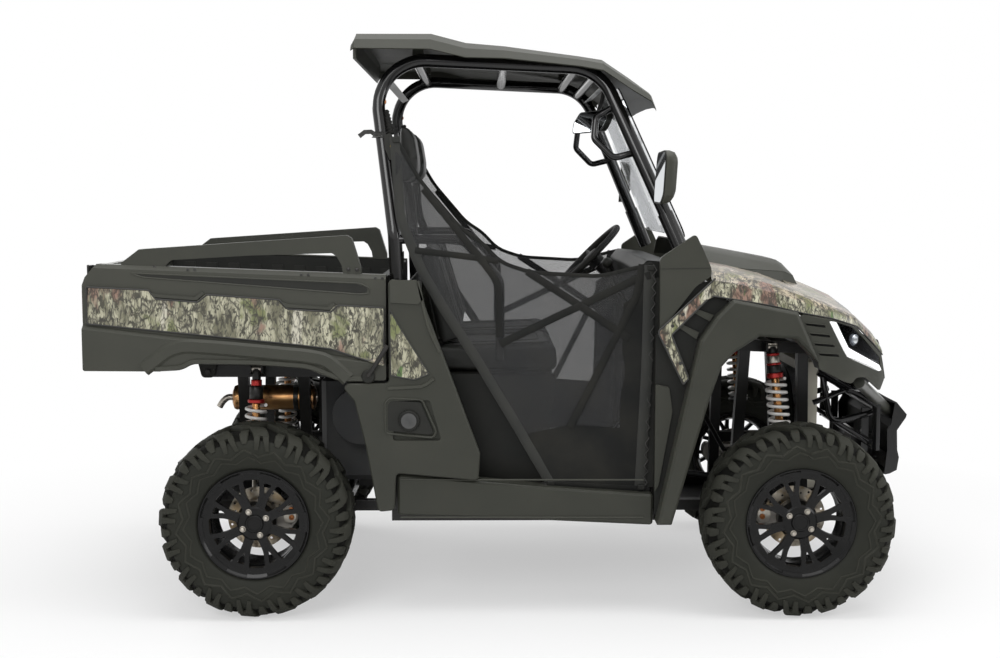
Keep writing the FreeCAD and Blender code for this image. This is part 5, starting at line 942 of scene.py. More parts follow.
# %% [markdown]
# ## Door nets
#
# Each door is a net: a stretched fabric mesh with a solid lower and front field, flat webbing
# straps sewn across it, and a lacing along its front edge. Seen from the camera the mesh is
# mostly thread, with light coming through, so its material is partly clear in a fine lattice.
# The sheet is cut from its outline and pulled into shallow folds towards its corners.

# %% Mesh fabric and its folds
def net_fabric(name, colour, solid, open_share):
    """A fabric whose threads are solid and whose holes let light through."""
    material = finish(name, colour, 0.75, 0.05, 0.08, 900.0, 0.00020, ink(70, 70, 66), texture=weave)
    tree = material.node_tree
    threads = add(tree, "ShaderNodeGroup", node_tree=weave, Scale=260.0)
    clear_part = add(tree, "ShaderNodeMapRange", threads.outputs["Height"], From_Min=0.35, From_Max=0.95,
                     To_Min=open_share, To_Max=solid)
    tree.links.new(clear_part.outputs[0], tree.nodes["Principled BSDF"].inputs["Alpha"])


net_fabric("net_mesh", ink(30, 31, 32), 0.90, 0.38)
finish("net_cloth", ink(19, 20, 19), 0.80, 0.05, 0.08, 900.0, 0.00025, ink(44, 44, 41), texture=weave,
       Sheen_Weight=0.08, Specular_IOR_Level=0.2)
finish("strap_grey", ink(38, 39, 37), 0.66, 0.05, 0.08, 900.0, 0.00030, ink(66, 66, 62), texture=weave,
       Sheen_Weight=0.12, Specular_IOR_Level=0.25)
NET_Y = 617.8
NET_EDGE = [(-403, 1692), (-318, 1531), (-173, 1365), (-104, 1323), (-34, 1247), (71, 1212), (315, 1198),
            (507, 1246), (480, 438), (136, 460), (11, 687), (-119, 904), (-240, 1091), (-317, 1227), (-385, 1379)]


def net_fold(x, z):
    """How far the fabric stands out where it is pulled into folds."""
    wide = math.sin((x * 0.9 + z * 0.55) / 62.0) * 2.6 + math.sin((x * 0.35 - z) / 41.0) * 1.8
    return wide + math.sin((x + z * 0.2) / 23.0) * 0.7


def net_place(out=0.0):
    """Places a side view point on the folded net, moved out from it."""
    return lambda x, z: Vector((x, NET_Y + net_fold(x, z) + out, z))


def band(points, width, out, coat):
    """A flat strap through (x, z) points, lying on the net."""
    line = [net_place(out)(p[0], p[1]) for p in rounded(points, 40, 4, closed=False)]
    long_line = []
    for a, b in zip(line, line[1:]):
        steps = max(1, int((b - a).length / 45))
        long_line += [a.lerp(b, k / steps) for k in range(steps)]
    return swept(long_line + [line[-1]], strap_section(width, 2.4), up=(0, 1, 0)), coat


solid_field = [(140, 462), (478, 440), (504, 1240), (466, 1236), (440, 1130), (398, 1100), (396, 968), (389, 660),
               (330, 664), (214, 672), (60, 640), (40, 628)]
field = cut_sheet(solid_field, [], 30.0, net_place(1.4))
print("net outline:", len(NET_EDGE), "corners")

# %% Cut the net, sew its straps and lace its edge
net_sheet = cut_sheet(soft_outline(NET_EDGE, 22), [], 30.0, net_place())
straps = [band([(60, 1214), (238, 1098), (418, 978)], 27, 2.4, "net_cloth"),
          band([(-34, 960), (200, 1072), (455, 1192), (492, 1200)], 27, 3.4, "net_cloth"),
          band([(212, 664), (330, 900), (445, 1132), (462, 1238)], 25, 4.4, "net_cloth"),
          band([(-330, 1288), (-120, 1262), (-40, 1250)], 22, 2.6, "net_cloth"),
          band([(-300, 1500), (-96, 1250), (-38, 1170), (-36, 985)], 24, 3.2, "net_cloth"),
          band([(-398, 1680), (-380, 1400), (-312, 1224), (-236, 1091), (-115, 904), (15, 687), (140, 470)], 34, 1.4,
               "strap_grey"),
          band([(488, 1236), (482, 900), (462, 446)], 38, 3.0, "strap_grey"),
          band([(-396, 1676), (-312, 1529), (-170, 1362), (-102, 1320), (-34, 1246), (71, 1210), (315, 1196),
                (498, 1240)], 14, 1.2, "net_cloth"),
          band([(136, 464), (300, 452), (476, 442)], 20, 3.2, "net_cloth")]
lace = []
for k in range(41):
    t = k / 40
    lace.append((507 - 27 * t + (7 if k % 2 else -7), NET_Y + (6 if k % 4 < 2 else 1), 1238 - 792 * t))
knots = [(block((x - 13, NET_Y - 2, z - 9), (x + 13, NET_Y + 9, z + 9)), "black_plastic")
         for x, z in ((146, 462), (466, 448), (-392, 1668), (492, 1226))]
sewn = [(field, "net_cloth")] + straps + [(swept(lace, ring_section(2.6, 6)), "seam_black")]
for i in range(len(NET_EDGE)):
    (x0, z0), (x1, z1) = NET_EDGE[i - 1], NET_EDGE[i]
for side_name, mirrored in (("left", False), ("right", True)):
    pieces = []
    for name, parts, slot, radius in (("door_net_", [(net_sheet, "net_mesh")], "web", 0.0),
                                      ("net_straps_", sewn, "web", 0.0),
                                      ("net_clips_", knots, "black_plastic", 2.5)):
        parts = [(flipped(part) if mirrored else part, coat) for part, coat in parts]
        hides = ["door_nets"] if mirrored and name == "door_net_" else []
        pieces.append(make(name + side_name, parts, slot=slot, sharp=50, radius=radius, replaces=hides))
    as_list(pieces[1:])

# %% [markdown]
# ## Headlights in the nose
#
# The headlight surrounds wrap from the wheel arch round to the nose. In plan they follow one
# curve, so every point of the lamp is placed by its side view and takes its depth from that
# curve. The surround is a sheet with the lamp opening and four gill slots cut out of it; the
# lamp is a dark bowl with a projector in it and a bent white light strip along two sides.

# %% The nose in plan
NOSE_PLAN = smooth_line([(940, 702), (985, 699.5), (1100, 685.5), (1200, 639.5), (1290, 559.5), (1360, 469.5),
                         (1400, 379.5), (1424, 250)], 6)


def nose_place(out=0.0):
    """Places a side view point on the nose's curve, moved out from it."""
    def put(x, z):
        for (x0, y0), (x1, y1) in zip(NOSE_PLAN, NOSE_PLAN[1:]):
            if x <= x1 or x1 == NOSE_PLAN[-1][0]:
                t = (x - x0) / (x1 - x0)
                size = math.dist((x0, y0), (x1, y1))
                normal = Vector(((y0 - y1) / size, (x1 - x0) / size, 0))
                lean = 1.0 + (z - 950) / 9000
                return Vector((x, (y0 + (y1 - y0) * t) * lean, z)) + normal * out
    return put


def turned_in(depth):
    """Moves a point of the nose to the same place at a depth behind the curve."""
    back = nose_place(-depth)
    return lambda p: back(p[0], p[2])


def on_nose(outline, out, depth):
    """A prism on the nose: its outer face moved out, its depth behind it."""
    return thick(cut_sheet(outline, [], 26.0, nose_place(out)), turned_in(depth - out))


def slit(share, head, tail, head_drop, tail_drop):
    """A slanted slit at a share of the way down the gills, with the drops to its lower corners."""
    (x0, z0), (x1, z1) = (head[0] + 58 * share, head[1] - 118 * share), (tail[0] + 62 * share, tail[1] - 116 * share)
    return [(x0, z0), (x1, z1), (x1 + tail_drop[0], z1 - tail_drop[1]), (x0 + head_drop[0], z0 - head_drop[1])]


GILL_SHARES = (0.06, 0.36, 0.66, 0.96)
surround = [(997, 1062), (1070, 903), (1072, 879), (1172, 828), (1203, 818), (1222, 838), (1262, 836), (1344, 773),
            (1372, 812), (1350, 880), (1343, 908), (1298, 946), (1212, 1018), (1118, 1049), (1008, 1070)]
lamp = [(1103, 1044), (1131, 1041), (1192, 1022), (1291, 936), (1336, 897), (1349, 848), (1333, 846), (1180, 914),
        (1162, 940)]
gills = [slit(share, (1014, 1046), (1084, 1038), (4, 7), (3, 9)) for share in GILL_SHARES]
face = thick(cut_sheet(soft_outline(surround, 9), [lamp] + gills, 22.0, nose_place()), turned_in(5.0))
print("surround:", len(face[1]), "faces")

# %% Light strip, bowl, projector and gill blades
strip = [(1105, 1045), (1129, 1041), (1182, 948), (1333, 870), (1348, 848), (1334, 847), (1181, 917), (1165, 941)]
deep = [(997, 1058), (1074, 880), (1172, 832), (1344, 790), (1366, 815), (1340, 905), (1212, 1014), (1110, 1048)]
lights = [(on_nose(soft_outline(strip, 4, 2), 1.0, 10), "led_white"), (face, "charcoal_plastic"),
          (cut_sheet(deep, [], 30.0, nose_place(-46.0)), "seam_black")]
bowl = [(1131, 1040), (1192, 1021), (1291, 935), (1334, 897), (1334, 872), (1183, 950)]
bowl_floor = [(x + (1218 - x) * 0.30, z + (958 - z) * 0.30) for x, z in bowl]
for i in range(len(bowl)):
    wall = [nose_place(-1.5)(*bowl[i - 1]), nose_place(-1.5)(*bowl[i]), nose_place(-40)(*bowl_floor[i]),
            nose_place(-40)(*bowl_floor[i - 1])]
    lights.append(((wall, [(0, 1, 2, 3)]), "lamp_clear"))
PROJECTOR = (1212, 976)
eye = nose_place(-30)(*PROJECTOR)
aim = (nose_place(10)(*PROJECTOR) - eye).normalized()
for radius, depths, sizes, coat in ((30, (0, 20, 22, 20), (1.0, 1.0, 0.92, 0.86), "black_steel"),
                                    (25, (14, 22, 28, 31), (1.0, 0.94, 0.7, 0.3), "mirror_glass")):
    lights.append((swept([eye + aim * depth for depth in depths], ring_section(radius, 28), sizes=sizes), coat))
for share in GILL_SHARES:
    blade = slit(share, (1012, 1050), (1086, 1042), (2, 3.5), (2, 3.5))
    lights.append((on_nose(blade, 2.2, 9), "charcoal_plastic"))
make("headlight_units", lights, slot="lamp_clear", sharp=28, both=True, replaces=["headlights"])
cover = [(1134, 1038), (1192, 1020), (1289, 934), (1331, 896), (1331, 876), (1186, 953)]
smoked = finishes["clear_sheet"].copy()
smoked.name = "smoked_lens"
smoked.node_tree.nodes["Principled BSDF"].inputs["Base Color"].default_value = (0.34, 0.35, 0.37, 1)
finishes["smoked_lens"] = smoked
make("headlight_lenses", [(on_nose(soft_outline(cover, 5, 2), 0.0, 2.5), "smoked_lens")], slot="lamp_clear", sharp=30,
     both=True)
print("headlights built")

# %% [markdown]
# ## Nose grille, cowl and its vents
#
# Between the lamps sits a black grille. Behind the hood the cowl rises into an air scoop, and
# beside the doors the pods run down past a slatted vent. The scoop is a loft of cross sections
# given thickness; the pods are outlines with a rounded edge.

# %% Grille between the lamps
def grille_place(out=0.0):
    """Places a front view point on the grille's bowed, leaning face."""
    return lambda y, z: Vector((1418 - 0.00016 * y * y - 0.16 * (z - 800) + out, y, z))


opening = soft_outline([(-235, 838), (235, 838), (262, 880), (218, 922), (-218, 922), (-262, 880)], 14)
frame_line = soft_outline([(-372, 800), (372, 800), (366, 880), (335, 942), (-335, 942), (-366, 880)], 18)
grille = thick(cut_sheet(frame_line, [opening], 30.0, grille_place()), lambda p: Vector((p[0] - 12, p[1], p[2])))
grille_parts = [(grille, "black_plastic"), (cut_sheet(frame_line, [], 60.0, grille_place(-26.0)), "seam_black")]
for z in (852, 870, 888, 906):
    bar_line = [grille_place(-8.0)(y, z) for y in range(-255, 256, 30)]
    grille_parts.append((swept(bar_line, strap_section(16, 5)), "black_plastic"))
for y in range(-200, 201, 80):
    bar_line = [grille_place(-12.0)(y, z) for z in (840, 920)]
    grille_parts.append((swept(bar_line, strap_section(6, 8)), "black_plastic"))
make("nose_grille", grille_parts, slot="black_plastic", radius=1.2, replaces=["nose_panel"])
print("grille:", made_pieces["nose_grille"], "faces")

# %% Scoop, pods and vents
scoop_rows = [(628, (427, 1240), (343, 1294), (266, 1312)), (716, (427, 1236), (343, 1273), (266, 1291)),
              (860, (427, 1212), (343, 1247), (266, 1265)), (1003, (345, 1200), (310, 1222), (266, 1238)),
              (1026, (330, 1196), (300, 1212), (262, 1224)), (1062, (300, 1180), (280, 1184), (250, 1186))]
scoop_points = []
for x, side_point, mid, top in scoop_rows:
    half = [side_point, mid, top, (150, top[1] + 2), (0, top[1] + 3)]
    for y, z in half + [(-y, z) for y, z in half[-2::-1]]:
        scoop_points.append(Vector((x, y, z)))
scoop = (scoop_points, grid_faces(len(scoop_rows), 9))
cowl_parts = [(thick(scoop, lambda p: Vector((p[0], p[1] * 0.985, p[2] - 5.0))), "charcoal_plastic")]
skirt = [Vector((x, y, z - 1.5)) for x, (y, z), mid, top in scoop_rows]
skirt += [Vector((x + 14, y + 5, 1198 - (x - 628) * 0.115)) for x, (y, z), mid, top in scoop_rows]
skirt_sheet = (skirt, grid_faces(2, len(scoop_rows)))
cowl_sides = [(thick(skirt_sheet, lambda p: Vector((p[0], p[1] - 5.0, p[2]))), "charcoal_plastic")]
POD_Y, VENT_Y, SLAT_Y = 694, 676, 690
pod = [(516, 1263), (638, 1345), (659, 1303), (693, 1228), (693, 1200), (640, 1166), (518, 1008)]
cowl_sides.append((on_side(soft_outline(pod, 12), POD_Y, 24.0), "charcoal_plastic"))
vent = [(530, 1026), (642, 1168), (692, 1186), (692, 1137), (762, 1112), (706, 1064), (652, 984), (630, 884),
        (611, 850), (537, 998)]
cowl_sides.append((on_side(vent, VENT_Y, 6.0), "black_plastic"))
for slat in ([(626, 1079), (640, 1089), (704, 1066), (690, 1044)],
             [(580, 1025), (592, 1035), (654, 1006), (645, 982)]):
    tilted = plate(slat, lambda a, b, out: (a, SLAT_Y - out - (1100 - b) * 0.04, b), 14.0)
    cowl_sides.append((tilted, "charcoal_plastic"))
seam = [(517, POD_Y + 0.4, 1226), (690, POD_Y + 0.4, 1229)]
cowl_sides.append((swept(seam, strap_section(1.0, 3.2), up=(0, 1, 0)), "seam_black"))
make("cowl_and_pods", cowl_parts + both_sides(cowl_sides), slot="charcoal_plastic", radius=3.0, sharp=24,
     replaces=["cowl"])
print("cowl:", made_pieces["cowl_and_pods"], "faces")

# %% [markdown]
# ## Edge trims of the painted panels
#
# Where the camouflage film ends, the panels show a thin black edge. It is a narrow round bead
# laid along each panel's outline.

# %% Black beads round the film
def bead(points, radius, closed=False):
    """A thin black bead with its finish."""
    return tube_along(points, 6, radius, closed, 6), "seam_black"


FENDER_BEAD_Y, CORNER_Y = 699.4, 686.5
fender_edge = [(694, 706.5, 1134), (790, 705.5, 1119), (900, 704.5, 1100), (1010, 700.5, 1074), (1120, 680.5, 1053),
               (1215, 632.5, 1022), (1300, 548.5, 950), (1350, 484.5, 905)]
boomerang = [(706, 1194), (513, 1013), (513, 1001), (600, 826), (619, 848), (557, 998), (678, 1120)]
corner = [(-416, 1088), (-379, 1022), (-280, 862), (-332, 842), (-413, 857)]
trims = [bead(fender_edge, 2.6), bead([(x, FENDER_BEAD_Y, z) for x, z in boomerang], 3.4),
         bead([(x, CORNER_Y, z) for x, z in corner], 2.2, closed=True)]
make("film_edges", trims, slot="black_plastic", both=True, sharp=50)
fixings = [(bolt_head((x, 700, z), (1.6, 3), 6), "seam_black") for x, z in ((596, 1070), (560, 1030), (588, 900))]
make("fender_fixings", fixings, slot="black_plastic", both=True)
print("trims built")

# %% [markdown]
# ## Front bumper
#
# The bumper is a black tube frame that carries a folded face plate, with one thick bar across
# the front that ends below the headlights. The tubes are swept along bent lines; the face is
# one folded outline with end plates. The winch behind it stays as the frame has it.

# %% Tubes, bar, face plate and hooks
FACE = [(1380, 746), (1417, 725), (1445, 712), (1484, 666), (1481, 654), (1449, 606), (1452, 531), (1459, 504),
        (1452, 456), (1425, 442), (1408, 439)]
inner_face = [(x - 6.5, z - (4 if z > 650 else -1)) for x, z in FACE]
sheet_line = FACE + inner_face[::-1]
end_line = FACE + [(1405, 442), (1414, 531), (1412, 606), (1427, 633), (1438, 708), (1372, 735)]
bumper_tubes = [tube_along([(1168, 330, 840), (1206, 330, 628), (1362, 330, 668)], 50, 12),
                tube_along([(1156, 330, 822), (1356, 345, 712)], 20, 14),
                tube_along([(1140, 330, 706), (1262, 332, 756)], 20, 11),
                tube_along([(1225, 330, 634), (1359, 330, 552)], 20, 10),
                tube_along([(1359, 400, 540), (1359, 400, 722)], 20, 15),
                plate([(1250, 769), (1304, 756), (1359, 708), (1356, 698), (1311, 732), (1278, 749), (1251, 759)],
                      lambda a, b, out: (a, 330 + out, b), 84),
                block((1350, 224, 430), (1378, 236, 672)),
                swept([(1165, 230, 340), (1428, 230, 478)], strap_section(40, 26)),
                block((1145, 210, 322), (1199, 250, 362)),
                plate(end_line, lambda a, b, out: (a, 354 + out, b), 6)]
bumper_parts = both_sides([(part, "gloss_tube") for part in bumper_tubes])
fairlead = soft_outline([(-130, 505), (130, 505), (130, 585), (-130, 585)], 22, 4)
rope_slot = soft_outline([(-96, 530), (96, 530), (96, 560), (-96, 560)], 14, 4)
bumper_parts += [
    (plate(sheet_line, lambda a, b, out: (a, -354 + out, b), 708), "black_plastic"),
    (tube_along([(1248, 560, 813), (1450, 270, 658), (1450, -270, 658), (1248, -560, 813)], 60, 21, sides=20),
     "crash_grey"),
    (tube_along([(1359, 400, 552), (1359, -400, 552)], 20, 15), "gloss_tube"),
    (block((1411, -348, 462), (1443, 348, 502)), "black_steel"),
    (thick(cut_sheet(fairlead, [rope_slot], 18.0, lambda a, b: Vector((1466, a, b))),
           lambda p: Vector((p[0] - 14, p[1], p[2]))), "black_steel")]
make("tube_bumper", bumper_parts, slot="gloss_tube", radius=2.0, sharp=30, replaces=["bumper"])
hook = tube_along([(1462, 0, 470), (1468, 0, 430), (1478, 0, 404), (1470, 0, 382), (1452, 0, 386), (1446, 0, 404)],
                  14, 7.5)
strap_loop = swept([(1470, -14, 545), (1480, -6, 500), (1470, 0, 462)], strap_section(18, 4))
make("winch_hook", [(hook, "hook_red"), (strap_loop, "hook_red")], slot="bare_steel", sharp=50)
print("bumper:", made_pieces["tube_bumper"], "faces")

# %% [markdown]
# ## Shock absorbers
#
# Each shock has a black head, a chrome band, a red collar over the white spring, and a bronze
# damper inside it. It is one round section carried along the shock's own line with a table of
# shares and radii. The white spring is a wire wound round the same line.

# %% Shocks and springs along their own lines
def shock_parts(top, low, bands, coil):
    """Round bands along the line, an eye at each end, and a coil spring (start, end, turns)."""
    top, low = Vector(top), Vector(low)
    parts = []
    for start, end, radius, coat in bands:
        a, b = top.lerp(low, start), top.lerp(low, end)
        edge = (b - a).normalized() * min(2.5, (b - a).length / 3)
        ring = swept([a, a + edge * 0.4, a + edge, b - edge, b - edge * 0.4, b], ring_section(radius, 24),
                     sizes=[0.88, 0.96, 1.0, 1.0, 0.96, 0.88])
        parts.append((ring, coat))
    for end in (top, low):
        eye_line = [end + Vector((dx, 0, 0)) for dx in (-19, -16, 16, 19)]
        parts.append((swept(eye_line, ring_section(13, 18), sizes=[0.7, 1, 1, 0.7]), "bare_steel"))
    start, end, turns = coil
    axis = (low - top).normalized()
    across = axis.cross(Vector((0, 1, 0))).normalized()
    other = axis.cross(across)
    wire = []
    for k in range(turns * 20 + 1):
        turn = k / 20
        ease = min(turn, turns - turn, 1.0)
        share = turn / turns + (0.012 if turn < turns / 2 else -0.012) * (1 - ease)
        at = top.lerp(low, start + (end - start) * share)
        angle = 2 * math.pi * turn
        wire.append(at + across * math.cos(angle) * 35 + other * math.sin(angle) * 35)
    parts.append((swept(wire, ring_section(6.2, 10)), "spring_white"))
    return parts


springs = [((968, 400, 925), (1015, 440, 446), (0.245, 0.64, 7),
            ((0.0, 0.05, 17, "black_steel"), (0.05, 0.068, 24, "red_anodised"), (0.068, 0.125, 23, "bare_steel"),
             (0.125, 0.14, 26, "red_anodised"), (0.14, 0.20, 24, "black_steel"), (0.20, 0.238, 30, "red_anodised"),
             (0.238, 0.60, 15, "damper_bronze"), (0.645, 0.67, 41, "black_steel"), (0.60, 0.93, 11, "bare_steel"),
             (0.93, 1.0, 16, "black_steel"))),
           ((-925, 395, 845), (-936, 425, 312), (0.245, 0.66, 8),
            ((0.0, 0.075, 16, "black_steel"), (0.075, 0.118, 20, "red_anodised"), (0.118, 0.21, 25, "black_steel"),
             (0.21, 0.236, 31, "red_anodised"), (0.236, 0.62, 15, "damper_bronze"), (0.665, 0.69, 41, "black_steel"),
             (0.62, 0.93, 11, "bare_steel"), (0.93, 1.0, 16, "black_steel")))]
shock_pieces = []
for top, low, coil, bands in springs:
    shock_pieces += shock_parts(top, low, bands, coil)
wires = [piece for piece in shock_pieces if piece[1] == "spring_white"]
make("shock_absorbers", [piece for piece in shock_pieces if piece not in wires], slot="bare_steel", both=True,
     sharp=35, replaces=["shocks"])
make("wound_springs", wires, slot="spring_white", both=True, sharp=60, replaces=["coil_springs"])
print("shocks:", made_pieces["shock_absorbers"], "faces")

# %% [markdown]
# ## Radiator
#
# Behind the front wheels' arch stands the radiator: a dark finned core between two tanks, the
# outer one pale, with a bright strip down its edge, and a fan in a shroud behind.

# %% Core, tanks, fan and hoses
def radiator_block(x0, x1, y0, y1, z0, z1):
    """A block between two places along each axis."""
    return block((x0, y0, z0), (x1, y1, z1))


radiator_parts = [(radiator_block(1118, 1141, -222, 222, 400, 815), "seam_black")]
for k in range(58):
    z = 404 + k * 7
    radiator_parts.append((radiator_block(1114, 1143, -220, 220, z, z + 1.4), "engine_grey"))
for y0, y1 in ((-226, -206), (206, 226)):
    radiator_parts.append((radiator_block(1111, 1135, y0, y1, 392, 826), "black_steel"))
for z0, z1 in ((384, 404), (812, 846)):
    radiator_parts.append((radiator_block(1111, 1178, -224, 224, z0, z1), "radiator_tan"))
for side in (-1, 1):
    y0, y1 = sorted((side * 190, side * 226))
    radiator_parts.append((radiator_block(1144, 1180, y0, y1, 330, 843), "radiator_tan"))
    y0, y1 = sorted((side * 219, side * 226))
    radiator_parts.append((radiator_block(1136, 1143, y0, y1, 340, 838), "bare_steel"))
hub_at = Vector((1100, 0, 610))
shroud = turned([(196, 0), (200, 6), (186, 14), (180, 10)], 40, closed=True)
fan_hub = turned([(0.1, 8), (30, 8), (36, 2), (36, -10)], 24)
turn_x = Matrix.Rotation(math.radians(90), 3, "Z")
radiator_parts += [(moved(part, hub_at, turn_x), "black_plastic") for part in (shroud, fan_hub)]
for k in range(7):
    turn = Matrix.Rotation(2 * math.pi * k / 7, 3, "X")
    blade = plate([(30, -18), (170, -34), (176, 20), (30, 12)], lambda a, b, out: (out + b * 0.35, a, b), 3)
    radiator_parts.append((moved(moved(blade, turn=turn), hub_at), "black_plastic"))
make("radiator_unit", radiator_parts, slot="radiator_tan", sharp=30, replaces=["radiator"])
print("radiator:", made_pieces["radiator_unit"], "faces")

# %% [markdown]
# ## Side panels, recesses and bed trim
#
# The load bed's sides are moulded: a long groove under the rail, bosses that step into the
# camouflage, a lip that runs over the rear wheel, and ribs inside the walls. The panel steps in
# above the arch, so each moulding is laid at the depth of the face that carries it.

# %% Bed sides
ARCH_Y = 673.2
BED_TOP_Y = 655.2
FILM_Y, FILM_FOOT_Z, FILM_LEAN = 659.8, 953, 0.18


def side_ridge(line, width, height, y):
    """A raised moulding along (x, z) points, with sloping sides."""
    path = [Vector((p[0], -y, p[1])) for p in rounded(line, 40, 4, closed=False)]
    section = [(-width / 2, 0.6), (-width * 0.32, -height), (width * 0.32, -height), (width / 2, 0.6)]
    return swept(path, section, up=(0, 1, 0))


film_line = [(-1464, 1163), (-1249, 1152), (-1226, 1121), (-1080, 1110), (-1048, 1136), (-798, 1118), (-771, 1086),
             (-620, 1076), (-596, 1099), (-436, 1090), (-436, 890), (-526, 916), (-622, 947), (-725, 960),
             (-1126, 1001), (-1464, 1035)]
rear_boss = [(-1240, 1142), (-1232, 1128), (-1084, 1117), (-1056, 1139), (-1064, 1146), (-1090, 1128), (-1222, 1138)]
front_boss = [(-790, 1110), (-776, 1092), (-622, 1083), (-604, 1102), (-612, 1108), (-632, 1094), (-768, 1103)]
groove = soft_outline([(-1312, 1211), (-520, 1175), (-486, 1158), (-486, 1140), (-520, 1137), (-1270, 1196)], 9)
# Painted shade: the groove's floor is black plastic, darker than the charcoal round it, for the shade inside the
# groove.
groove_shade_floor = [(x + (6 if x < -900 else -8), z + (-3 if z > 1165 else 3)) for x, z in groove]
arch_lip = [(-1268, 878), (-1181, 944), (-1130, 958), (-1090, 957), (-990, 950), (-700, 922), (-640, 910),
            (-604, 882), (-562, 842)]
arch_foot = [(-1227, 880), (-1139, 884), (-1102, 906), (-872, 902), (-698, 889), (-640, 866), (-586, 844),
             (-508, 844)]
film_bead = [(x, -FILM_Y - FILM_LEAN * max(0, FILM_FOOT_Z - z), z) for x, z in film_line]
bed_trim = [(tube_along(film_bead, 5, 3.0, True, 6), "seam_black")]
bed_trim += [(on_side(boss, BED_TOP_Y, 8, 7.0), "charcoal_plastic") for boss in (rear_boss, front_boss)]
bed_trim += [(tube_along([(x, -BED_TOP_Y, z) for x, z in groove], 2, 3.2, True, 6), "charcoal_plastic"),
             (on_side(groove_shade_floor, BED_TOP_Y, 3, 0.6), "black_plastic"),
             (side_ridge(arch_lip, 52, 9, ARCH_Y), "charcoal_plastic"),
             (side_ridge(arch_foot, 20, 6, ARCH_Y), "charcoal_plastic")]
for x, z in ((-1101, 1224), (-710, 1206), (-454, 1194)):
    for shift in (-12, 12):
        bed_trim.append((bolt_head((x + shift, -BED_TOP_Y, z - 0.9), (-1.8, -3.2), 5, 10), "seam_black"))
make("bed_side_trim", bed_trim, body="bed", slot="charcoal_plastic", sharp=30, both=True)
BED_FLOOR_Z = 913
ribs = []
for x in range(-1400, -487, 76):
    for y0, y1 in ((-641, -631), (631, 641)):
        ribs.append((block((x, y0, BED_FLOOR_Z), (x + 8, y1, 1222 - (x + 1400) * 0.04)), "black_plastic"))
for y in range(-500, 501, 100):
    ribs.append((block((-458, y - 4, BED_FLOOR_Z), (-449, y + 4, 1180)), "black_plastic"))
make("bed_liner_ribs", ribs, body="bed", slot="black_plastic", radius=1.5)
print("bed trim:", made_pieces["bed_side_trim"], "faces")

# %% Cab corners, tank cap recess and bed lever
PANEL_Y, RIDGE_Y, RECESS_Y, CAP_AT = 683.0, 684.5, 683.5, (-351, -684, 699)
brow = [(-413, 1188), (-322, 1188), (-300, 1120), (-318, 1104), (-412, 1110)]
recess = soft_outline([(-434, 762), (-416, 778), (-305, 772), (-256, 659), (-268, 638), (-433, 654)], 12, 4)
# Painted shade: the recess floor is black plastic, darker than the charcoal rim, for the shade inside the recess.
recess_shade_floor = soft_outline([(-424, 756), (-412, 768), (-311, 763), (-268, 661), (-275, 649), (-424, 663)], 9, 4)
cap = turned([(36, 0), (36.5, 6), (35, 10), (32, 12), (30, 11.4), (26, 12.5), (0.2, 13.2)], 40)
lid = turned([(27, 12.6), (26.6, 14.2), (0.2, 14.8)], 40)
cab = [(on_side(brow, CORNER_Y, 5, 2.0), "charcoal_plastic"),
       (side_ridge([(-318, 1184), (-283, 1022), (-243, 938)], 12, 4, RIDGE_Y), "charcoal_plastic"),
       (side_ridge([(-424, 812), (-300, 818), (-264, 846)], 14, 4, RIDGE_Y), "charcoal_plastic"),
       (tube_along([(x, -RECESS_Y, z) for x, z in recess], 3, 3.6, True, 8), "charcoal_plastic"),
       (on_side(recess_shade_floor, PANEL_Y, 4, 0.8), "black_plastic"),
       (moved(flipped(cap), CAP_AT), "black_plastic"), (moved(flipped(lid), CAP_AT), "engine_grey")]
for k in range(20):
    turn = 2 * math.pi * k / 20
    at = Vector(CAP_AT) + Vector((36 * math.cos(turn), -3, 36 * math.sin(turn)))
    cab.append((swept([at, at + Vector((0, -4, 0))], ring_section(2.2, 6)), "black_plastic"))
make("cab_corner_details", cab, slot="charcoal_plastic", sharp=30, both=True)
lever = tube_along([(-492, -681, 855), (-474, -690, 880), (-424, -691, 962)], 12, 8.0, sides=14)
pivot = turned([(22, -4), (24, 2), (20, 7), (0.2, 8)], 24)
make("bed_release_lever", [(lever, "black_steel"), (moved(flipped(pivot), (-492, -676, 852)), "black_plastic")],
     slot="black_steel", sharp=40)
WELL_Y, FACET_Y, POST_Y = 655, 667, 608
well = soft_outline([(508, 1000), (508, 352), (556, 352), (600, 560), (628, 800), (600, 960)], 14)
facet = soft_outline([(508, 822), (556, 812), (568, 726), (522, 464), (508, 440)], 8)
post = [(474, 446), (520, 446), (548, 1190), (500, 1190)]
foot_well = [(on_side(well, WELL_Y, 20), "black_plastic"), (on_side(facet, FACET_Y, 14), "charcoal_plastic"),
             (on_side(post, POST_Y, 8), "black_plastic")]
make("foot_well_sides", foot_well, slot="black_plastic", radius=3.0, both=True)
SILL_Y = 664
sill = [(tube_along([(-384, -SILL_Y, z), (470, -SILL_Y, z - 2)], 5, 3.0, sides=6), "charcoal_plastic")
        for z in (486, 352)]
make("sill_mouldings", sill, slot="charcoal_plastic", both=True, sharp=40)
print("cab details:", made_pieces["cab_corner_details"], "faces")

# %% [markdown]
# ## Exhaust
#
# The exhaust can lies across behind the rear axle. It is a turned drum with seams and a band
# clamp, and its tail pipe bends down and back.

# %% Drum, clamps and tail pipe
CAN_Y, CAN_Z = -239, 716


def along_x(line, x):
    """A turned form whose axis lies along X, at the can's height."""
    turn = Matrix.Rotation(math.radians(-90), 3, "Z")
    return moved(turned(line, 40), (x, CAN_Y, CAN_Z), turn)


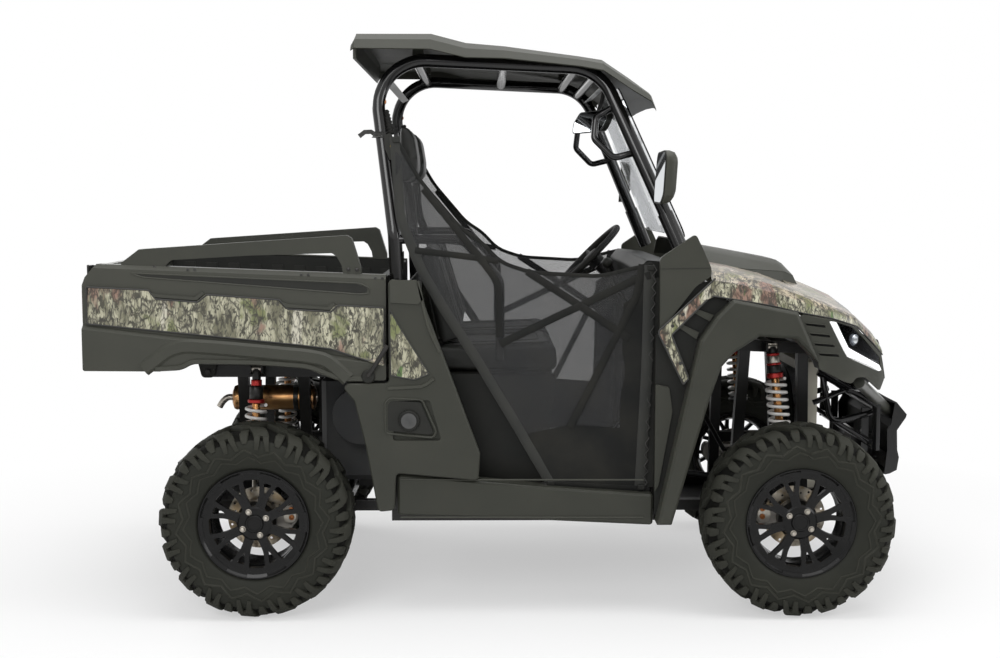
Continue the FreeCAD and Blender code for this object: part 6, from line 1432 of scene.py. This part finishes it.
can = along_x([(0.2, -160), (30, -160), (44, -154), (47, -146), (46, -140), (47, -134), (47, 120), (46, 126),
               (47, 132), (44, 146), (26, 154), (0.2, 154)], -880)
tail_pipe = [(-1036, -240, 716), (-1062, -240, 718), (-1082, -240, 700), (-1094, -240, 680)]
exhaust = [(can, "exhaust_steel"), (tube_along(tail_pipe, 18, 12, sides=20), "bare_steel"),
           (tube_along([(-730, -240, 716), (-722, -240, 716)], 2, 17, sides=20), "bare_steel")]
for x in (-970, -800):
    exhaust.append((along_x([(48, -9), (49.5, -7), (49.5, 7), (48, 9)], x), "black_steel"))
    exhaust.append((block((x - 12, -262, 756), (x + 12, -218, 763)), "black_steel"))
make("exhaust_can", exhaust, slot="exhaust_steel", sharp=32, replaces=["muffler"])
print("exhaust:", made_pieces["exhaust_can"], "faces")

# %% [markdown]
# ## Cab fittings
#
# Mirrors have a pale glass in a dark shell. The cage carries pale cross plates, copper bolts,
# belts with their guides and yellow discs, and the straps that tie the nets to the pillars.

# %% Mirrors, cage plates, clamps and guides
MIRROR_TURN, MIRROR_Z = math.radians(22), 1764


def cabin_mirror_place(a, b, d):
    """The cabin mirror leans forward and is turned to the driver."""
    return (322 + d * math.cos(MIRROR_TURN) - a * math.sin(MIRROR_TURN) + (b - MIRROR_Z) * 0.30,
            a * math.cos(MIRROR_TURN) + d * math.sin(MIRROR_TURN), b)


mirror_line = soft_outline([(-128, 1722), (128, 1722), (150, 1764), (118, 1806), (-118, 1806), (-150, 1764)], 14, 4)
middle_z = sum(b for a, b in mirror_line) / len(mirror_line)
glass_line = [(a * 0.93, (b - middle_z) * 0.93 + middle_z) for a, b in mirror_line]
make("cabin_mirror", [
    (plate(mirror_line, cabin_mirror_place, 22), "black_plastic"),
    (plate(glass_line, lambda a, b, d: cabin_mirror_place(a, b, d - 1.2), 1.6), "mirror_glass"),
    (tube_along([(344, 4, 1776), (366, 2, 1832), (376, 0, 1876)], 14, 8, sides=14), "black_steel")],
    slot="black_plastic", radius=2.0)


def door_mirror_place(a, b, out=0.0):
    """The left door mirror's face, leaning back and turned in."""
    return Vector((510 + out + (b - 1540) * 0.06 + (a - 710) * 0.10, a, b))


face_line = soft_outline([(646, 1452), (742, 1448), (780, 1480), (782, 1606), (758, 1630), (652, 1624), (640, 1600),
                          (640, 1466)], 14, 4)
shell = [door_mirror_place(a, b) for a, b in face_line]
middle = door_mirror_place(711, 1540)
rows = [shell] + [[middle + (p - middle) * scale + Vector((push, 0, 0)) for p in shell]
                  for push, scale in ((16, 1.0), (34, 0.93), (44, 0.78), (48, 0.4))]
count = len(shell)
faces = grid_faces(len(rows), count, wrap_columns=True) + [tuple(range(4 * count, 5 * count))]
glass = [door_mirror_place(711 + (a - 711) * 0.92, 1540 + (b - 1540) * 0.94, -1.0) for a, b in face_line]
whole = [tuple(range(count))]
make("door_mirrors", [
    (([p for row in rows for p in row], faces), "charcoal_plastic"), ((glass, whole), "mirror_glass"),
    (thick((shell, whole), lambda p: Vector((p[0] + 3, p[1], p[2]))), "black_plastic"),
    (tube_along([(548, 700, 1530), (545, 662, 1508), (522, 622, 1500)], 12, 11, sides=14), "black_plastic")],
    slot="charcoal_plastic", sharp=40, both=True, replaces=["mirrors"])
print("mirrors built")

# %% Plates, clamps, bolts and belts
finish("plate_grey", ink(176, 176, 176), 0.40, 0.10, 0.05, 420.0, 0.00003, ink(200, 200, 200))
cage_bits = []
cage_bits = []
for corners in ([(-436, 1868), (-413, 1882), (-411, 1879), (-434, 1865)],
                [(330, 1868), (362, 1880), (363, 1877), (331, 1865)]):
    cage_bits.append((plate(corners, lambda a, b, d: (a, -488 + d, b), 976), "plate_grey"))
BELT_Y = 545
bellows = [Vector((-436 + k * 1.4, 509 + k * 1.4, 1776 - k * 6)) for k in range(15)]
bellow_sizes = [0.55 + 0.25 * (k % 2) + 0.02 * k for k in range(15)]
guide = soft_outline([(-440, 1688), (-414, 1694), (-392, 1640), (-396, 1606), (-420, 1600), (-436, 1640)], 6)
disc = turned([(11, 0), (11, 2.4), (9.5, 3.2), (0.2, 3.2)], 24)
web_line = [(x, BELT_Y, z) for x, z in ((-402, 1606), (-398, 1560), (-392, 1483), (-386, 1416), (-378, 1241),
                                        (-380, 1010))]
net_tie = [(-528, 536, 1684), (-508, 538, 1699), (-486, 536, 1700), (-474, 534, 1692)]
turns = [2 * math.pi * k / 20 for k in range(20)]
wrap = [(-455 + 25 * math.cos(turn), 527 + 25 * math.sin(turn), 1690) for turn in turns]
fittings = [(swept([(-456, 503, 1806), (-434, 503, 1806)], ring_section(5, 12)), "copper_bolt"),
            (swept([(-443, 503, 1806), (-436, 503, 1806)], ring_section(9, 6)), "copper_bolt"),
            (swept(bellows, ring_section(15, 16), sizes=bellow_sizes), "rubber_grip"),
            (on_side(guide, BELT_Y + 22, 16), "black_plastic"),
            (moved(disc, (-406, BELT_Y + 22, 1650)), "belt_yellow"),
            (swept(web_line, strap_section(44, 2.2), up=(1, 0, 0)), "web"),
            (swept(net_tie, strap_section(16, 3), up=(0, 1, 0)), "web"),
            (swept(wrap, strap_section(3, 20), closed=True), "web")]
for z, high in ((1500, 34), (1250, 60)):
    clamp = block((-402, BELT_Y - 26, z - high / 2), (-374, BELT_Y + 26, z + high / 2))
    fittings.append((clamp, "black_plastic"))
make("cage_fittings", cage_bits + both_sides(fittings), slot="black_plastic", sharp=36)
SEAT_MIDDLE = 267.0
buckles = []
for y in (SEAT_MIDDLE - 190.65, SEAT_MIDDLE + 190.65):
    buckles += [(tube_along([(-250, y, 962), (-238, y, 1030)], 2, 7, sides=10), "web"),
                (block((-252, y - 18, 1026), (-226, y + 18, 1082)), "black_plastic"),
                (block((-247, y - 11, 1080), (-231, y + 11, 1085)), "red_anodised")]
make("belt_buckles", buckles, slot="black_plastic", radius=2.0, both=True)
print("cage fittings:", made_pieces["cage_fittings"], "faces")

# %% [markdown]
# ## Seats
#
# Each seat has a cushion, a back and a head pad. Padding is a closed shell blown up against
# its own fabric: the block is remeshed to an even grid, Cloth with a little pressure makes it
# swell between its edges, and a cap keeps it in its place. The piping is laid on afterwards.

# %% Padding by cloth
def baked(piece):
    """The piece's mesh becomes what its modifiers make of it."""
    graph = bpy.context.evaluated_depsgraph_get()
    mesh = bpy.data.meshes.new_from_object(piece.evaluated_get(graph), depsgraph=graph)
    piece.modifiers.clear()
    piece.data = mesh
    mesh.shade_smooth()
    return mesh
def refined(pad):
    """A finer, smooth surface over the pad's grid."""
    fine = pad.modifiers.new("fine", "SUBSURF")
    fine.levels = fine.render_levels = 1
    return pad
def padded_shape(name, form, coat, slot, cap, hides=()):
    """A pad from a plain closed form; it ends as a plain mesh."""
    pad = make(name, [(form, coat)], slot=slot, sharp=180, replaces=hides)
    grid = pad.modifiers.new("even_grid", "REMESH")
    grid.mode, grid.voxel_size = "VOXEL", 0.007
    soften = pad.modifiers.new("soft_edges", "SMOOTH")
    soften.factor, soften.iterations = 0.5, 14
    baked(pad)
    start = [v.co.copy() for v in pad.data.vertices]
    cloth = pad.modifiers.new("swell", "CLOTH")
    cloth.settings.use_pressure = True
    cloth.settings.uniform_pressure_force = 4.0
    cloth.settings.effector_weights.gravity = 0.0
    cloth.point_cache.frame_start, cloth.point_cache.frame_end = 1, 20
    for moment in range(1, 21):
        bpy.context.scene.frame_set(moment)
    graph = bpy.context.evaluated_depsgraph_get()
    swollen = [v.co.copy() for v in pad.evaluated_get(graph).data.vertices]
    pad.modifiers.clear()
    bpy.context.scene.frame_set(1)
    for vertex, old, new in zip(pad.data.vertices, start, swollen):
        step = new - old
        vertex.co = old + step * min(1.0, cap * MM / max(step.length, 1e-9))
    pad.data.materials.clear()
    pad.data.materials.append(finishes[coat])
    return refined(pad)


def piped(pad, lines, radius):
    """Piping along lines, laid on the pad's surface."""
    tree = BVHTree.FromObject(pad, bpy.context.evaluated_depsgraph_get())
    parts = []
    for line in lines:
        laid = []
        for p in line:
            found = tree.find_nearest(Vector(p) * MM)
            laid.append((found[0] + found[1] * radius * 0.3 * MM) / MM)
        parts.append((swept(laid, ring_section(radius, 8), closed=True), "seam_black"))
    return parts


print("padding: baked, refined, padded_shape, piped")

# %% Cushions, backs and head pads
lean = math.radians(17)
UP, BACK = Vector((-math.sin(lean), 0, math.cos(lean))), Vector((-math.cos(lean), 0, -math.sin(lean)))


def seat_back_place(v, w, y):
    """Up the back by v, into it by w."""
    return Vector((-158, y, 960)) + UP * v + BACK * w


cushion_side = [(-278, 850), (168, 850), (182, 868), (178, 932), (150, 944), (-100, 930), (-262, 932), (-276, 915)]
back_side = [(8, 14), (360, 14), (366, 30), (356, 62), (8, 84)]
head_side = [(-392, 1520), (-382, 1520), (-336, 1556), (-336, 1610), (-348, 1690), (-368, 1726), (-392, 1726)]
forms = (("seat_cushion", plate(cushion_side, lambda a, b, d: (a, 42 + d, b), 450), 10, "seat_cushions"),
         ("seat_back_pad", plate(back_side, lambda a, b, d: seat_back_place(a, b, 44 + d), 446), 9, "seat_backs"),
         ("head_pad", plate(head_side, lambda a, b, d: (a, 152 + d, b), 230), 5, "headrests"))
pads = []
for name, form, cap, node in forms:
    pad = padded_shape(name + "_left", form, "seat_vinyl", "seat_vinyl", cap, [node])
    twin = bpy.data.objects.new(name + "_right", pad.data.copy())
    twin.data.transform(Matrix.Translation((0, -2 * SEAT_MIDDLE * MM, 0)))
    bpy.context.scene.collection.objects.link(refined(twin))
    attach(twin, "chassis")
    pads.append(pad)
print("pads:", [pad.name for pad in pads])

# %% Piping and the seats' carriers
cushion_loops = (([(-255, 62), (160, 62), (160, 472), (-255, 472)], 60),
                 ([(-225, 140), (110, 140), (110, 394), (-225, 394)], 40))
back_loops = (([(30, 66), (345, 74), (345, 460), (30, 468)], 50),
              ([(55, 150), (300, 160), (300, 374), (55, 384)], 40))
cushion_lines = [[(x, y, 960) for x, y in soft_outline(loop, bend, 8)] for loop, bend in cushion_loops]
back_lines = [[seat_back_place(v, -20, y) for v, y in soft_outline(loop, bend, 8)] for loop, bend in back_loops]
piping = piped(pads[0], cushion_lines, 2.4) + piped(pads[1], back_lines, 2.4)
piping += [(moved(part, (0, -2 * SEAT_MIDDLE, 0)), coat) for part, coat in piping]
make("seat_piping", piping, slot="seat_vinyl", sharp=80)
head_arm = block((-421, SEAT_MIDDLE - 60, 1600), (-394, SEAT_MIDDLE + 60, 1640))
pan = plate([(30, 88), (330, 60), (338, 68), (24, 98)],
            lambda a, b, d: seat_back_place(a, b, SEAT_MIDDLE - 190 + d), 380)
make("seat_carriers", [(head_arm, "black_steel"), (pan, "black_plastic")], slot="black_steel", radius=2.0, both=True)
print("seats:", made_pieces["seat_piping"], "faces of piping")

# %% [markdown]
# ## Tailgate and bed rails
#
# The tailgate is a moulded double wall: a raised field outside, ribs inside and a sunk handle
# at the top. They ride on the gate, so they swing down with it.

# %% Tailgate mouldings and rail bolts
GATE_X, GATE_RIBS = -1480.5, (-1449, -1443)
RAIL_Y = 641.5
field_line = soft_outline([(-500, 935), (500, 935), (520, 1160), (-520, 1160)], 26, 4)
handle_line = soft_outline([(-95, 1176), (95, 1176), (95, 1212), (-95, 1212)], 10, 4)
gate_parts = [(plate(field_line, lambda a, b, d: (GATE_X + d, a, b), 5.5), "charcoal_plastic"),
              (plate(handle_line, lambda a, b, d: (GATE_X + 1 + d, a, b), 4.5), "black_plastic")]
for y in range(-440, 441, 110):
    gate_parts.append((block((GATE_RIBS[0], y - 5, 925), (GATE_RIBS[1], y + 5, 1180)), "black_plastic"))
for z in (950, 1150):
    gate_parts.append((block((GATE_RIBS[0], -520, z - 5), (GATE_RIBS[1], 520, z + 5)), "black_plastic"))
for y in (-330, 330):
    gate_parts.append((swept([(-1462, y - 30, 905), (-1462, y + 30, 905)], ring_section(7, 16)), "black_steel"))
make("tailgate_mouldings", gate_parts, body="gate", slot="charcoal_plastic", radius=2.0)
rail_bolts = [(bolt_head((x, RAIL_Y, z), (2.5, 4), 7), "black_steel")
              for x, z in ((-1290, 1226), (-1230, 1229), (-560, 1222), (-530, 1221))]
make("rail_bolts", rail_bolts, body="bed", slot="black_steel", sharp=40, both=True)
print("tailgate:", made_pieces["tailgate_mouldings"], "faces")

# %% [markdown]
# ## Finish
#
# The number of pieces built here is printed.

# %% Count of own pieces
print("own pieces:", len(made_pieces))
